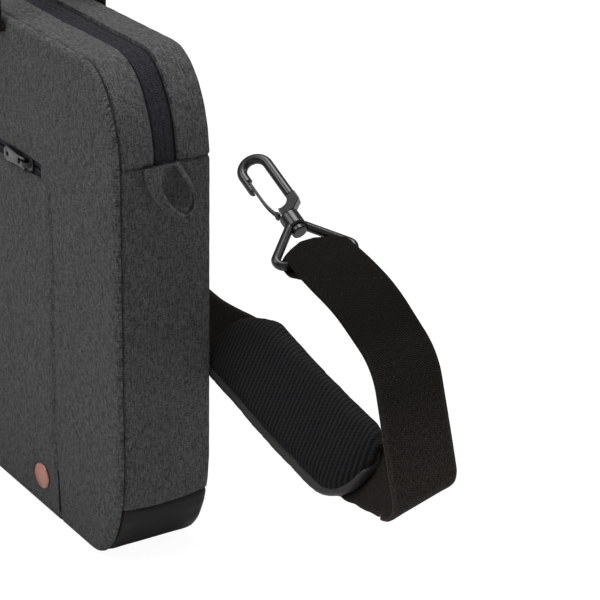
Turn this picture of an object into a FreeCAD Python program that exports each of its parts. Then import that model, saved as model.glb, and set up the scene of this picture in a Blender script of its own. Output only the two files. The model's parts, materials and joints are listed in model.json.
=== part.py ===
import FreeCAD, Part
import math
import os

# A slim shoulder bag for a camera. Millimetres. X is to the wearer's right, Y goes from the front face
# to the back, Z is up. The origin is the centre of the base, on the surface that the bag stands on.

V = FreeCAD.Vector

# ---- bag body -------------------------------------------------------------------------------------
BAG_W = 400.0
BAG_D = 60.0
BAG_H = 300.0
TOP_CORNER_X = 38.0
TOP_CORNER_Z = 58.0
BASE_CORNER_X = 34.0
BASE_CORNER_Z = 66.0
PANEL_T = 4.0            # foam-backed front and back panels
GUSSET_T = 3.0           # foam-backed side and top strips
ZIP_END_Z = 245.0        # seam where the zip ends on each side
BASE_SEAM_Z = 38.0       # seam between the side fabric and the coated base
SPLIT_GAP = 0.3          # clearance between the opening mouth and the rest
SOFT_GAP = 0.3           # clearance between soft pieces of different bodies

# ---- main zip -------------------------------------------------------------------------------------
ZIP_Y = 2.0              # the zip runs a little behind the middle of the gusset
TAPE_HALF = 7.5
TAPE_SLOT = 1.6          # open line between the two tape halves
TAPE_T = 1.0
TAPE_SINK = 0.8          # the tape lies this far under the fabric's face
COIL_W = 2.0
COIL_T = 1.6

# ---- zip sliders and pulls ------------------------------------------------------------------------
SLIDER_L = 12.0
SLIDER_PLATE_T = 1.4
SLIDER_NECK_T = 1.0
SLIDER_NECK_L = 4.0
SLIDER_GAP = 0.3
SLIDER_FLANGE_T = 1.2
SLIDER_EDGE = 0.5
SLIDER_SHOULDER = 0.35   # share of the half length where the plate starts to narrow
SLIDER_NOSE = 0.72       # share of the full width left at the nose
BRIDGE_L = 8.0
BRIDGE_W = 3.0
BRIDGE_T = 1.2
BRIDGE_CLEAR = 2.6       # free height under the bridge
BRIDGE_SPRING = 1.0      # the bridge's arch springs this far below its crown
PULL_WIRE_R = 0.9
PULL_W = 9.0
PULL_L = 25.0
PULL_T = 1.6
PULL_ARM_W = 1.5
PULL_SLOT_L = 8.0
PULL_TAPER_L = 3.0
PULL_CORNER = 2.5
PULL_HOLE_R = 1.4
PULL_HOLE_INSET = 4.5
MAIN_SLIDER_X = 8.0
POCKET_SLIDER_INSET = 18.0   # the pocket slider parks this far from the zip's end

# ---- front pocket ---------------------------------------------------------------------------------
POCKET_HALF_W = 128.0
POCKET_Z0 = 2.0
POCKET_ZIP_Z = 220.0
POCKET_ZIP_MARGIN = 10.0   # the pocket zip ends this far inside the pocket's seam
POCKET_TAPE_HALF = 4.5
POCKET_PANEL_T = 1.6
POCKET_RECESS = 2.0
POCKET_GAP = 0.3
POCKET_LINING_T = 1.6
POCKET_LINING_Z0 = 30.0
BADGE_INSET = 21.0
BADGE_Z = 22.5
BADGE_R = 8.0
BADGE_T = 1.8
BADGE_RIM = 1.2
BADGE_DISH = 0.5
BADGE_POST_R = 1.5
BADGE_WASHER_R = 4.5
BADGE_WASHER_T = 0.8
TAB_W = 5.5
TAB_Z0 = 7.0
TAB_H = 28.0
TAB_T = 0.8

# ---- inside ---------------------------------------------------------------------------------------
BASE_BOARD_T = 2.0
BINDING_W = 5.0
BINDING_T = 1.6
SLEEVE_GAP = 12.0        # free depth behind the padded sleeve
SLEEVE_T = 5.0
SLEEVE_EDGE_R = 2.0
SLEEVE_HALF_W = 160.0
SLEEVE_TOP_Z = 205.0
DIVIDER_T = 8.0
DIVIDER_EDGE_R = 3.2
DIVIDER_X = 62.0
DIVIDER_TOP_Z = 150.0

# ---- carry handles --------------------------------------------------------------------------------
HANDLE_X = 65.0
HANDLE_W = 25.0
HANDLE_T = 2.2
HANDLE_RISE = 88.0
HANDLE_BEND_R = 26.0
HANDLE_OFF = 3.6         # the webbing's middle plane stands this far off the panel
HANDLE_ROOT_H = 3.0
HANDLE_SEWN = 8.0        # the handle turns on a line this far below the top edge
GRIP_L = 70.0
GRIP_W = 30.0
GRIP_T = 6.4
GRIP_EDGE_R = 2.7
GRIP_OFF = 0.4

# ---- side loops -----------------------------------------------------------------------------------
LOOP_SPAN = 25.0         # between the middles of the two legs
LOOP_DROP = 33.0
LOOP_W = 7.0
LOOP_T = 1.8
LOOP_TURN_R = 11.0
LOOP_LIFT_LEFT = 20.0    # degrees, the left loop is drawn out by the clipped hook

# ---- swivel snap hook -----------------------------------------------------------------------------
WEB_W = 38.0
WEB_T = 2.0
BAR_R = 2.4
BAR_SIDE_GAP = 0.4
LOOP_FRAME_H = 22.6
LOOP_APEX_HALF = 4.0
LOOP_CORNER_R = 3.2
LOOP_APEX_R = 2.6
BOSS_R = 5.2
BOSS_EDGE = 0.8
BOSS_LOW = 1.4           # the boss reaches this far below the frame's apex
BOSS_HIGH = 8.0
STEM_R = 2.6
STEM_GAP = 0.08
STEM_HEAD_R = 4.1
STEM_HEAD_T = 2.6
STEM_END_GAP = 0.35
HOOK_LEN = 73.4          # from the bar to the crown of the hook
HOOK_ROD_R = 2.6
HOOK_BEND_R = 7.0
SPINE_V = 6.9            # the spine stands off the swivel axis to this side
NOSE_L = 10.0
NOSE_NOTCH_L = 5.5
BASE_T = 5.8
BASE_L = 5.0
BASE_SHOULDER_L = 1.0    # the shoulder reaches the spine's outer face this far short of the base's end
BASE_NECK_L = 4.0        # the base laps the spine by this much
BASE_BOWL_L = 0.6
BASE_BOWL_DEPTH = 1.4
BASE_LIP = 0.2
STEM_LAP = 2.0           # the stem runs this far into the base
GATE_T = 1.3
GATE_W = 4.4
GATE_ROOT_R = 1.5
NOSE_SEAT = 0.3          # the nose is cut back this far past its middle for the leaf
LEAF_SEAT_L = 12.0       # straight end of the leaf, under the nose
GATE_GAP = 0.35
GATE_END_GAP = 1.2

# ---- strap ----------------------------------------------------------------------------------------
HOOK_OUT = 150.7                    # the right hook's bar lies this far beyond the bag's end
HOOK_Z = 243.6
HOOK_RISE = 25.4                    # degrees, the right hook points left and up
HOOK_ROLL = -30.5                   # degrees, turn of the right hook on its swivel
WEB_FOLD_GAP = 0.3
TAIL_L = 36.0
TAIL_TAPER = 13.0
FOLD_TAPER = 16.0
END_RUN = 4.0
LIMB_FALL = 15.0                    # degrees below level, where the strap leaves the right hook
LIMB_FIRST = 41.0
LIMB_FIRST_R = 90.0
LIMB_SHOULDER_X = 77.6              # corners of the hanging bend, counted from the right hook's bar
LIMB_SHOULDER_DROP = 26.0
LIMB_SHOULDER_R = 32.0
LIMB_TURN_X = 90.6
LIMB_TURN_DROP = 101.5
LIMB_TURN_R = 10.0
LIMB_END_BACK = 13.0                # the tight turn ends this far back from its corner
LIMB_END_DROP = 3.0
FAR_LIMB_SHAPE = (                  # share of the way; rise and shift in widths; share of the twist
    (0.14, 0.02, 0.04, 0.12),
    (0.32, 0.016, 0.105, 0.40),
    (0.50, -0.016, 0.16, 0.66),
    (0.70, -0.042, 0.145, 0.88),
)
PAD_OUT = 143.0                     # the pad ends this far beyond the bag's end
PAD_BEHIND = 13.0                   # and this far behind its back
PAD_END_Z = 110.3
LEFT_HOOK_TILT = 57.0               # degrees, the left hook leans back from upright
HOOK_HOLD = 0.2                     # the loop's band lies this far into the crown
LAYER_HALF = 2.5                    # each layer of the doubled strap lies this far from the middle plane
RETURN_L = 230.0
PAD_L = 160.0
PAD_W = 52.0
PAD_T = 9.0
PAD_CORNER_R = 24.0
PAD_RIM = 5.0
PAD_RIM_T = 6.0
PAD_EDGE = 2.7
PAD_RIM_EDGE = 1.6
ADJUSTER_S = 150.0                  # where the adjuster sits along the doubled stretch
ADJUSTER_L = 24.0
ADJUSTER_BAR = 4.0
ADJUSTER_RAIL = 3.6
ADJUSTER_GAP = 0.4
ADJUSTER_BAR_T = 2.2
ADJUSTER_CORNER_R = 2.4

FRONT_Y = -BAG_D / 2
BACK_Y = BAG_D / 2
HALF_W = BAG_W / 2
INSIDE_FRONT_Y = FRONT_Y + PANEL_T
INSIDE_BACK_Y = BACK_Y - PANEL_T
POCKET_ZIP_END = POCKET_HALF_W - POCKET_ZIP_MARGIN
POCKET_SLIDER_PARK = POCKET_ZIP_END - POCKET_SLIDER_INSET
BADGE_CENTRE = POCKET_HALF_W - BADGE_INSET
HOOK_BAR = V(HALF_W + HOOK_OUT, 0, HOOK_Z)
PAD_END = V(HALF_W + PAD_OUT, BACK_Y + PAD_BEHIND, PAD_END_Z)
FAR = 2 * (BAG_W + BAG_H)
CUT_PAST = 1.0           # cutters reach this far past a face
LAP = 0.3                # pieces of one casting run this far into each other
JOIN_TOL = 1e-6          # runs shorter than this between two arcs are left out


# ---- small helpers --------------------------------------------------------------------------------
def box(x0, x1, y0, y1, z0, z1):
    return Part.makeBox(x1 - x0, y1 - y0, z1 - z0, V(x0, y0, z0))


def quarter(cx, cz, rx, rz, start, end, y):
    """Part of an upright ellipse in the plane at y, from start to end degrees."""
    big, small = max(rx, rz), min(rx, rz)
    turn = 0.0 if rx >= rz else 90.0
    ellipse = Part.Ellipse(V(0, 0, 0), big, small)
    edge = ellipse.toShape(math.radians(start - turn), math.radians(end - turn))
    edge.rotate(V(0, 0, 0), V(0, 0, 1), turn)
    edge.rotate(V(0, 0, 0), V(1, 0, 0), 90)
    edge.translate(V(cx, y, cz))
    return edge


def outline(inset, y):
    """The bag's front outline, moved in by inset, as a wire in the plane at y."""
    x = HALF_W - inset
    low, high = inset, BAG_H - inset
    tx, tz = TOP_CORNER_X - inset, TOP_CORNER_Z - inset
    bx, bz = BASE_CORNER_X - inset, BASE_CORNER_Z - inset
    edges = [
        Part.makeLine(V(x - bx, y, low), V(-x + bx, y, low)),
        quarter(-x + bx, low + bz, bx, bz, 180, 270, y),
        Part.makeLine(V(-x, y, low + bz), V(-x, y, high - tz)),
        quarter(-x + tx, high - tz, tx, tz, 90, 180, y),
        Part.makeLine(V(-x + tx, y, high), V(x - tx, y, high)),
        quarter(x - tx, high - tz, tx, tz, 0, 90, y),
        Part.makeLine(V(x, y, high - tz), V(x, y, low + bz)),
        quarter(x - bx, low + bz, bx, bz, 270, 360, y),
    ]
    return Part.Wire(Part.__sortEdges__(edges))


def slab(inset, y0, y1):
    """A solid of the bag's outline between two planes."""
    return Part.Face(outline(inset, y0)).extrude(V(0, y1 - y0, 0))


def band(outer, inner, y0, y1):
    """A strip that follows the bag's outline, from one inset to the next."""
    return slab(outer, y0, y1).cut(slab(inner, y0 - 1, y1 + 1))


def above(shape, z):
    return shape.common(box(-FAR, FAR, -FAR, FAR, z, FAR))


def below(shape, z):
    return shape.common(box(-FAR, FAR, -FAR, FAR, -FAR, z))


def right_of(shape, x):
    return shape.common(box(x, FAR, -FAR, FAR, -FAR, FAR))


def left_of(shape, x):
    return shape.common(box(-FAR, x, -FAR, FAR, -FAR, FAR))


def rounded_path(points, radii, closed=False):
    """A wire of straight runs with tangent arcs at the corners."""
    count = len(points)
    edges = []
    last = None
    first = None
    corners = range(count) if closed else range(1, count - 1)
    if not closed:
        last = points[0]
    for i in corners:
        before, corner, after = points[i - 1], points[i], points[(i + 1) % count]
        a = (before - corner).normalize()
        b = (after - corner).normalize()
        half = a.getAngle(b) / 2
        reach = radii[i] / math.tan(half)
        start, end = corner + a * reach, corner + b * reach
        middle = corner + (a + b).normalize() * (radii[i] / math.sin(half) - radii[i])
        if last is None:
            first = start
        elif (start - last).Length > JOIN_TOL:
            edges.append(Part.makeLine(last, start))
        edges.append(Part.Arc(start, middle, end).toShape())
        last = end
    edges.append(Part.makeLine(last, first if closed else points[-1]))
    return Part.Wire(edges)


def rod(path, radius):
    """A round rod along a path of runs and arcs."""
    pieces = []
    for edge in path.Edges:
        start, heading = edge.valueAt(edge.FirstParameter), edge.tangentAt(edge.FirstParameter)
        if isinstance(edge.Curve, Part.Line):
            pieces.append(cylinder(radius, start, edge.valueAt(edge.LastParameter)))
            continue
        disc = Part.Face(Part.Wire([Part.makeCircle(radius, start, heading)]))
        turn = math.degrees(edge.Length / edge.Curve.Radius)
        axis = (start - edge.Curve.Center).cross(heading)
        pieces.append(disc.revolve(edge.Curve.Center, axis, turn))
    return pieces[0].fuse(pieces[1:]).removeSplitter()


def cylinder(radius, start, end):
    return Part.makeCylinder(radius, (end - start).Length, start, end - start)


def frame_of(origin, x_axis, y_axis):
    """The placement that takes local X and Y to two directions in the part's frame."""
    x = V(x_axis).normalize()
    z = x.cross(V(y_axis)).normalize()
    y = z.cross(x)
    matrix = FreeCAD.Matrix(x.x, y.x, z.x, origin.x, x.y, y.y, z.y, origin.y,
                            x.z, y.z, z.z, origin.z, 0, 0, 0, 1)
    return FreeCAD.Placement(matrix)


def placed(shape, placement):
    moved = shape.copy()
    moved.Placement = placement.multiply(moved.Placement)
    return moved


def strip(points, radii, width, thickness, middle=0.0):
    """Webbing whose edge view is a path of runs and arcs in the plane Y = 0, laid evenly about middle."""
    count = len(points)
    sides = []
    for d in (-thickness / 2, thickness / 2):
        moved, bends = [], []
        for i in range(count):
            runs = [(points[k + 1] - points[k]).normalize() for k in (i - 1, i) if 0 <= k < count - 1]
            normals = [V(-r.z, 0, r.x) for r in runs]
            if len(normals) == 1:
                moved.append(points[i] + normals[0] * d)
                bends.append(0)
                continue
            total = normals[0] + normals[1]
            moved.append(points[i] + total * (d / (1 + normals[0].dot(normals[1]))))
            left_turn = runs[0].x * runs[1].z - runs[0].z * runs[1].x > 0
            bends.append(radii[i] - d if left_turn else radii[i] + d)
        sides.append(rounded_path(moved, bends))
    ends = [[side.OrderedVertexes[k].Point for side in sides] for k in (0, -1)]
    caps = [Part.makeLine(here, there) for here, there in ends]
    wire = Part.Wire(Part.__sortEdges__(sides[0].Edges + sides[1].Edges + caps))
    solid = Part.Face(wire).extrude(V(0, width, 0))
    solid.translate(V(0, middle - width / 2, 0))
    return solid


def ribbon(stations, width, thickness):
    """A band of webbing through stations, each a middle point and a width direction."""
    points = [V(p) for p, _ in stations]
    count = len(points)
    length = [0.0]
    for i in range(1, count):
        length.append(length[-1] + (points[i] - points[i - 1]).Length)
    corners = [[], [], [], []]
    for i in range(count):
        ahead = points[min(i + 1, count - 1)] - points[max(i - 1, 0)]
        across = V(stations[i][1]).normalize()
        normal = ahead.cross(across).normalize()
        side, lift = across * (width / 2), normal * (thickness / 2)
        for k, (s, n) in enumerate(((-1, -1), (1, -1), (1, 1), (-1, 1))):
            corners[k].append(points[i] + side * s + lift * n)
    edges = []
    for row in corners:
        curve = Part.BSplineCurve()
        curve.interpolate(Points=row, Parameters=length)
        edges.append(curve.toShape())
    faces = [Part.makeRuledSurface(edges[k], edges[(k + 1) % 4]) for k in range(4)]
    for end in (0, -1):
        ring = [corners[k][end] for k in range(4)]
        faces.append(Part.Face(Part.makePolygon(ring + [ring[0]])))
    shell = Part.makeShell(faces)
    shell.sewShape()
    solid = Part.makeSolid(shell)
    if solid.Volume < 0:
        solid.reverse()
    return solid


# ---- bag shell ------------------------------------------------------------------------------------
def back_panel():
    return slab(0, INSIDE_BACK_Y, BACK_Y)


def front_slab():
    return slab(0, FRONT_Y, INSIDE_FRONT_Y)


def pocket_slot():
    """The long window in the front panel that the pocket zip fills."""
    return box(-POCKET_ZIP_END, POCKET_ZIP_END, FRONT_Y - CUT_PAST, INSIDE_FRONT_Y + CUT_PAST,
               POCKET_ZIP_Z - POCKET_TAPE_HALF, POCKET_ZIP_Z + POCKET_TAPE_HALF)


def pocket_top_z():
    return POCKET_ZIP_Z - POCKET_TAPE_HALF


def front_panel():
    panel = below(front_slab(), ZIP_END_Z)
    half = POCKET_HALF_W + POCKET_GAP
    low = POCKET_Z0 - POCKET_GAP
    recess = box(-half, half, FRONT_Y - CUT_PAST, FRONT_Y + POCKET_RECESS, low, pocket_top_z())
    washer_hole = cylinder(BADGE_WASHER_R + POCKET_GAP, V(BADGE_CENTRE, FRONT_Y, BADGE_Z),
                           V(BADGE_CENTRE, FRONT_Y + POCKET_RECESS + BADGE_WASHER_T + POCKET_GAP, BADGE_Z))
    return panel.cut(recess).cut(pocket_slot()).cut(washer_hole)


def pocket_panel():
    panel = box(-POCKET_HALF_W, POCKET_HALF_W, FRONT_Y, FRONT_Y + POCKET_PANEL_T, POCKET_Z0, pocket_top_z())
    hole = cylinder(BADGE_POST_R + POCKET_GAP, V(BADGE_CENTRE, FRONT_Y - CUT_PAST, BADGE_Z),
                    V(BADGE_CENTRE, FRONT_Y + PANEL_T, BADGE_Z))
    return panel.cut(hole)


def pocket_lining():
    return box(-POCKET_HALF_W, POCKET_HALF_W, INSIDE_FRONT_Y, INSIDE_FRONT_Y + POCKET_LINING_T,
               POCKET_LINING_Z0, pocket_top_z())


def pocket_zip_tape():
    """Two tape halves with their coils, in the window of the front panel."""
    halves = []
    for side in (-1, 1):
        near, far = side * TAPE_SLOT / 2, side * POCKET_TAPE_HALF
        z0, z1 = sorted((POCKET_ZIP_Z + near, POCKET_ZIP_Z + far))
        tape = box(-POCKET_ZIP_END, POCKET_ZIP_END, FRONT_Y + TAPE_SINK,
                   FRONT_Y + TAPE_SINK + TAPE_T, z0, z1)
        z0, z1 = sorted((POCKET_ZIP_Z + near, POCKET_ZIP_Z + near + side * COIL_W))
        coil_y = FRONT_Y + TAPE_SINK + TAPE_T
        coil = box(-POCKET_ZIP_END, POCKET_ZIP_END, coil_y, coil_y + COIL_T, z0, z1)
        halves.append(tape.fuse(coil).removeSplitter())
    return Part.makeCompound(halves)


def badge():
    """A plain dished disc with a raised rim and a post, turned about its own axis."""
    hollow_r, floor = BADGE_R - BADGE_RIM, BADGE_T - BADGE_DISH
    back = POCKET_RECESS
    profile = [V(0, -back, 0), V(BADGE_POST_R, -back, 0), V(BADGE_POST_R, 0, 0), V(BADGE_R, 0, 0),
               V(BADGE_R, floor, 0), V(BADGE_R - BADGE_DISH, BADGE_T, 0), V(hollow_r, BADGE_T, 0),
               V(hollow_r - BADGE_DISH, floor, 0), V(0, floor + BADGE_DISH / 2, 0)]
    disc = Part.Face(Part.makePolygon(profile + [profile[0]])).revolve(V(0, 0, 0), V(0, 1, 0), 360)
    return placed(disc, frame_of(V(BADGE_CENTRE, FRONT_Y, BADGE_Z), V(1, 0, 0), V(0, -1, 0)))


def badge_washer():
    back = FRONT_Y + POCKET_RECESS
    start, end = V(BADGE_CENTRE, back, BADGE_Z), V(BADGE_CENTRE, back + BADGE_WASHER_T, BADGE_Z)
    return cylinder(BADGE_WASHER_R, start, end)


def seam_tab():
    tab = box(POCKET_HALF_W - TAB_W, POCKET_HALF_W, FRONT_Y - TAB_T, FRONT_Y, TAB_Z0, TAB_Z0 + TAB_H)
    return tab


def gusset_band():
    return band(0, GUSSET_T, INSIDE_FRONT_Y, INSIDE_BACK_Y)


def side_gusset(side):
    strip = above(below(gusset_band(), ZIP_END_Z), BASE_SEAM_Z)
    return right_of(strip, 0) if side > 0 else left_of(strip, 0)


def bottom_panel():
    return below(gusset_band(), BASE_SEAM_Z)


def zip_edge(side):
    """The Y of the tape's inner edge and of its sewn edge, on one side of the zip."""
    return ZIP_Y + side * TAPE_SLOT / 2, ZIP_Y + side * TAPE_HALF


def zip_gusset(side):
    sewn = zip_edge(side)[1]
    y0, y1 = sorted((sewn, INSIDE_BACK_Y if side > 0 else INSIDE_FRONT_Y))
    strip = band(0, GUSSET_T, y0, y1)
    return above(strip, ZIP_END_Z + (SPLIT_GAP if side < 0 else 0))


def zip_tape(side):
    near, sewn = zip_edge(side)
    y0, y1 = sorted((near, sewn))
    tape = band(TAPE_SINK, TAPE_SINK + TAPE_T, y0, y1)
    y0, y1 = sorted((near, near + side * COIL_W))
    coil = band(TAPE_SINK + TAPE_T, TAPE_SINK + TAPE_T + COIL_T, y0, y1)
    return above(tape.fuse(coil).removeSplitter(), ZIP_END_Z + (SPLIT_GAP if side < 0 else 0))


def upper_front_panel():
    return above(front_slab(), ZIP_END_Z + SPLIT_GAP)


def seam_binding(side):
    """Binding tape over the inner seam, along the front or the back panel."""
    y = INSIDE_BACK_Y if side > 0 else INSIDE_FRONT_Y
    y0, y1 = sorted((y, y - side * BINDING_W))
    ring = band(GUSSET_T, GUSSET_T + BINDING_T, y0, y1)
    return ring if side > 0 else below(ring, ZIP_END_Z)


# ---- inside ---------------------------------------------------------------------------------------
def board_top_z():
    return GUSSET_T + BINDING_T + BASE_BOARD_T


def base_board():
    half = HALF_W - BASE_CORNER_X
    z = GUSSET_T + BINDING_T
    return box(-half, half, INSIDE_FRONT_Y + POCKET_LINING_T, INSIDE_BACK_Y, z, z + BASE_BOARD_T)


def sleeve_front_y():
    return INSIDE_BACK_Y - SLEEVE_GAP - SLEEVE_T


def padded_sleeve():
    y = sleeve_front_y()
    pad = box(-SLEEVE_HALF_W, SLEEVE_HALF_W, y, y + SLEEVE_T, board_top_z(), SLEEVE_TOP_Z)
    top = [e for e in pad.Edges if e.BoundBox.ZMin > SLEEVE_TOP_Z - SOFT_GAP]
    return pad.makeFillet(SLEEVE_EDGE_R, [e for e in top if e.BoundBox.XLength > SLEEVE_T])


def divider(side):
    x = side * DIVIDER_X
    front = INSIDE_FRONT_Y + POCKET_LINING_T
    pad = box(x - DIVIDER_T / 2, x + DIVIDER_T / 2, front, sleeve_front_y(), board_top_z(), DIVIDER_TOP_Z)
    top = [e for e in pad.Edges if e.BoundBox.ZMin > DIVIDER_TOP_Z - SOFT_GAP]
    return pad.makeFillet(DIVIDER_EDGE_R, [e for e in top if e.BoundBox.YLength > DIVIDER_T])


# ---- zip sliders ----------------------------------------------------------------------------------
def slider():
    """A slider on a zip along X whose face is the plane Z = 0: the coils lie below it."""
    half = SLIDER_L / 2
    plate_z = -TAPE_SINK + SLIDER_GAP
    low_z = -TAPE_SINK - TAPE_T - COIL_T - SLIDER_GAP
    near = TAPE_SLOT / 2
    reach = near + COIL_W + SLIDER_GAP + SLIDER_FLANGE_T
    shoulder, nose = half * SLIDER_SHOULDER, reach * SLIDER_NOSE
    outline_pts = [V(-half, -reach, plate_z), V(shoulder, -reach, plate_z), V(half, -nose, plate_z),
                   V(half, nose, plate_z), V(shoulder, reach, plate_z), V(-half, reach, plate_z)]
    top = Part.Face(Part.makePolygon(outline_pts + [outline_pts[0]])).extrude(V(0, 0, SLIDER_PLATE_T))
    rim = [e for e in top.Edges if e.BoundBox.ZMin > plate_z + SLIDER_PLATE_T / 2]
    top = top.makeChamfer(SLIDER_EDGE, rim)
    neck_x, neck_y, under = SLIDER_NECK_L / 2, SLIDER_NECK_T / 2, low_z - SLIDER_PLATE_T
    neck = box(-neck_x, neck_x, -neck_y, neck_y, under, plate_z + LAP)
    bottom = box(-half, half, -reach, neck_y, under, low_z)
    flange = box(-half, half, -reach, -reach + SLIDER_FLANGE_T, low_z - LAP, -TAPE_SINK - TAPE_T - SLIDER_GAP)
    deck = plate_z + SLIDER_PLATE_T
    crown = deck + BRIDGE_CLEAR
    foot, spring, leg = deck - LAP, crown - BRIDGE_SPRING, BRIDGE_L / 2
    arch = Part.Wire([
        Part.makeLine(V(-leg, 0, foot), V(-leg, 0, spring)),
        Part.Arc(V(-leg, 0, spring), V(0, 0, crown + BRIDGE_T / 2), V(leg, 0, spring)).toShape(),
        Part.makeLine(V(leg, 0, spring), V(leg, 0, foot))])
    thick, wide = BRIDGE_T / 2, BRIDGE_W / 2
    section = [V(-leg - thick, -wide, foot), V(-leg + thick, -wide, foot),
               V(-leg + thick, wide, foot), V(-leg - thick, wide, foot)]
    bridge = arch.makePipeShell([Part.makePolygon(section + [section[0]])], True, False, 1)
    return top.fuse([neck, bottom, flange, bridge]).removeSplitter()


def pull_axis_z():
    """Height of the pull's wire over the face of the zip."""
    return -TAPE_SINK + SLIDER_GAP + SLIDER_PLATE_T + BRIDGE_CLEAR / 2


def pull():
    """A pull that lies along +X from its wire under the bridge, in the slider's frame."""
    z = pull_axis_z()
    inner = BRIDGE_W / 2 + SLIDER_GAP
    arm = inner + PULL_ARM_W
    wire = cylinder(PULL_WIRE_R, V(0, -arm, z), V(0, arm, z))
    arms = [box(-PULL_WIRE_R, PULL_SLOT_L, min(s * inner, s * arm), max(s * inner, s * arm),
                z - PULL_T / 2, z + PULL_T / 2) for s in (-1, 1)]
    low, half, end = z - PULL_T / 2, PULL_W / 2, PULL_L - PULL_TAPER_L
    tab_pts = [V(PULL_SLOT_L - LAP, -arm, low), V(end, -half, low), V(PULL_L, -half + PULL_CORNER, low),
               V(PULL_L, half - PULL_CORNER, low), V(end, half, low), V(PULL_SLOT_L - LAP, arm, low)]
    tab = Part.Face(Part.makePolygon(tab_pts + [tab_pts[0]])).extrude(V(0, 0, PULL_T))
    eyelet = PULL_L - PULL_HOLE_INSET
    hole = cylinder(PULL_HOLE_R, V(eyelet, 0, z - PULL_T), V(eyelet, 0, z + PULL_T))
    return wire.fuse(arms + [tab]).cut(hole).removeSplitter()


def main_zip_frame(side):
    return frame_of(V(side * MAIN_SLIDER_X, ZIP_Y, BAG_H), V(1, 0, 0), V(0, 1, 0))


def zip_slider(side):
    body = slider()
    if side < 0:
        body = body.mirror(V(0, 0, 0), V(1, 0, 0))
    return placed(body, main_zip_frame(side))


def zip_pull(side):
    tab = pull()
    if side < 0:
        tab = tab.mirror(V(0, 0, 0), V(1, 0, 0))
    return placed(tab, main_zip_frame(side))


def pocket_zip_frame():
    return frame_of(V(POCKET_SLIDER_PARK, FRONT_Y, POCKET_ZIP_Z), V(1, 0, 0), V(0, 0, 1))


def pocket_slider():
    return placed(slider(), pocket_zip_frame())


def pocket_pull():
    return placed(pull().mirror(V(0, 0, 0), V(1, 0, 0)), pocket_zip_frame())


# ---- carry handles --------------------------------------------------------------------------------
def handle_plane_y(side):
    return side * (BAG_D / 2 + HANDLE_OFF)


def handle_root_z():
    return BAG_H - HANDLE_SEWN


def handle_grip_z():
    return handle_root_z() + HANDLE_RISE


def carry_handle(side):
    y = handle_plane_y(side) - HANDLE_T / 2
    root, grip = handle_root_z(), handle_grip_z()
    half = HANDLE_W / 2

    def arch(x, z, radius):
        points = [V(-x, y, root), V(-x, y, z), V(x, y, z), V(x, y, root)]
        return rounded_path(points, [0, radius, radius, 0])

    outer = arch(HANDLE_X + half, grip + half, HANDLE_BEND_R + half)
    inner = arch(HANDLE_X - half, grip - half, HANDLE_BEND_R - half)
    near, far = HANDLE_X - half, HANDLE_X + half
    caps = [Part.makeLine(V(s * near, y, root), V(s * far, y, root)) for s in (-1, 1)]
    wire = Part.Wire(Part.__sortEdges__(outer.Edges + inner.Edges + caps))
    loop = Part.Face(wire).extrude(V(0, HANDLE_T, 0))
    roots = []
    for s in (-1, 1):
        y0, y1 = sorted((handle_plane_y(side) - side * HANDLE_T / 2, side * (BAG_D / 2 + SOFT_GAP)))
        roots.append(box(s * HANDLE_X - half, s * HANDLE_X + half, y0, y1, root, root + HANDLE_ROOT_H))
    return loop.fuse(roots).removeSplitter()


def handle_grip(side):
    """A padded sleeve round the webbing where the hand goes."""
    middle = handle_plane_y(side) + side * GRIP_OFF
    z = handle_grip_z()
    half, thick, high = GRIP_L / 2, GRIP_T / 2, GRIP_W / 2
    sleeve = box(-half, half, middle - thick, middle + thick, z - high, z + high)
    sleeve = sleeve.makeFillet(GRIP_EDGE_R, [e for e in sleeve.Edges if e.BoundBox.XLength > GRIP_L / 2])
    plane = handle_plane_y(side)
    thick, high = HANDLE_T / 2, HANDLE_W / 2
    slot = box(-GRIP_L, GRIP_L, plane - thick, plane + thick, z - high, z + high)
    return sleeve.cut(slot)


# ---- side loops -----------------------------------------------------------------------------------
def side_loop(side):
    """A band of fabric sewn into the seam at the zip's end, hanging as a U."""
    x = side * (HALF_W + SOFT_GAP)
    top, low = ZIP_END_Z - SOFT_GAP, ZIP_END_Z - LOOP_DROP
    half = LOOP_SPAN / 2

    def arch(y, z, radius):
        points = [V(x, -y, top), V(x, -y, z), V(x, y, z), V(x, y, top)]
        return rounded_path(points, [0, radius, radius, 0])

    outer = arch(half + LOOP_T / 2, low, LOOP_TURN_R)
    inner = arch(half - LOOP_T / 2, low + LOOP_T, LOOP_TURN_R - LOOP_T)
    near, far = half - LOOP_T / 2, half + LOOP_T / 2
    caps = [Part.makeLine(V(x, s * near, top), V(x, s * far, top)) for s in (-1, 1)]
    wire = Part.Wire(Part.__sortEdges__(outer.Edges + inner.Edges + caps))
    loop = Part.Face(wire).extrude(V(side * LOOP_W, 0, 0))
    if side < 0:
        loop.rotate(loop_hinge(side), V(0, 1, 0), LOOP_LIFT_LEFT)
    return loop


def loop_hinge(side):
    return V(side * (HALF_W + SOFT_GAP), 0, ZIP_END_Z - SOFT_GAP)


# ---- swivel snap hook, bar along Y, pointing along +X ---------------------------------------------
def crown_centre():
    return HOOK_LEN - HOOK_ROD_R - HOOK_BEND_R


def nose_v():
    return SPINE_V - 2 * HOOK_BEND_R


def loop_corner_half():
    """Where the rod's straight runs would meet, so that the bar is straight across the webbing."""
    straight = WEB_W / 2 + BAR_SIDE_GAP
    half = straight
    for _ in range(8):
        corner = math.atan2(LOOP_FRAME_H, half - LOOP_APEX_HALF)
        half = straight + LOOP_CORNER_R / math.tan(corner / 2)
    return half


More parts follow.
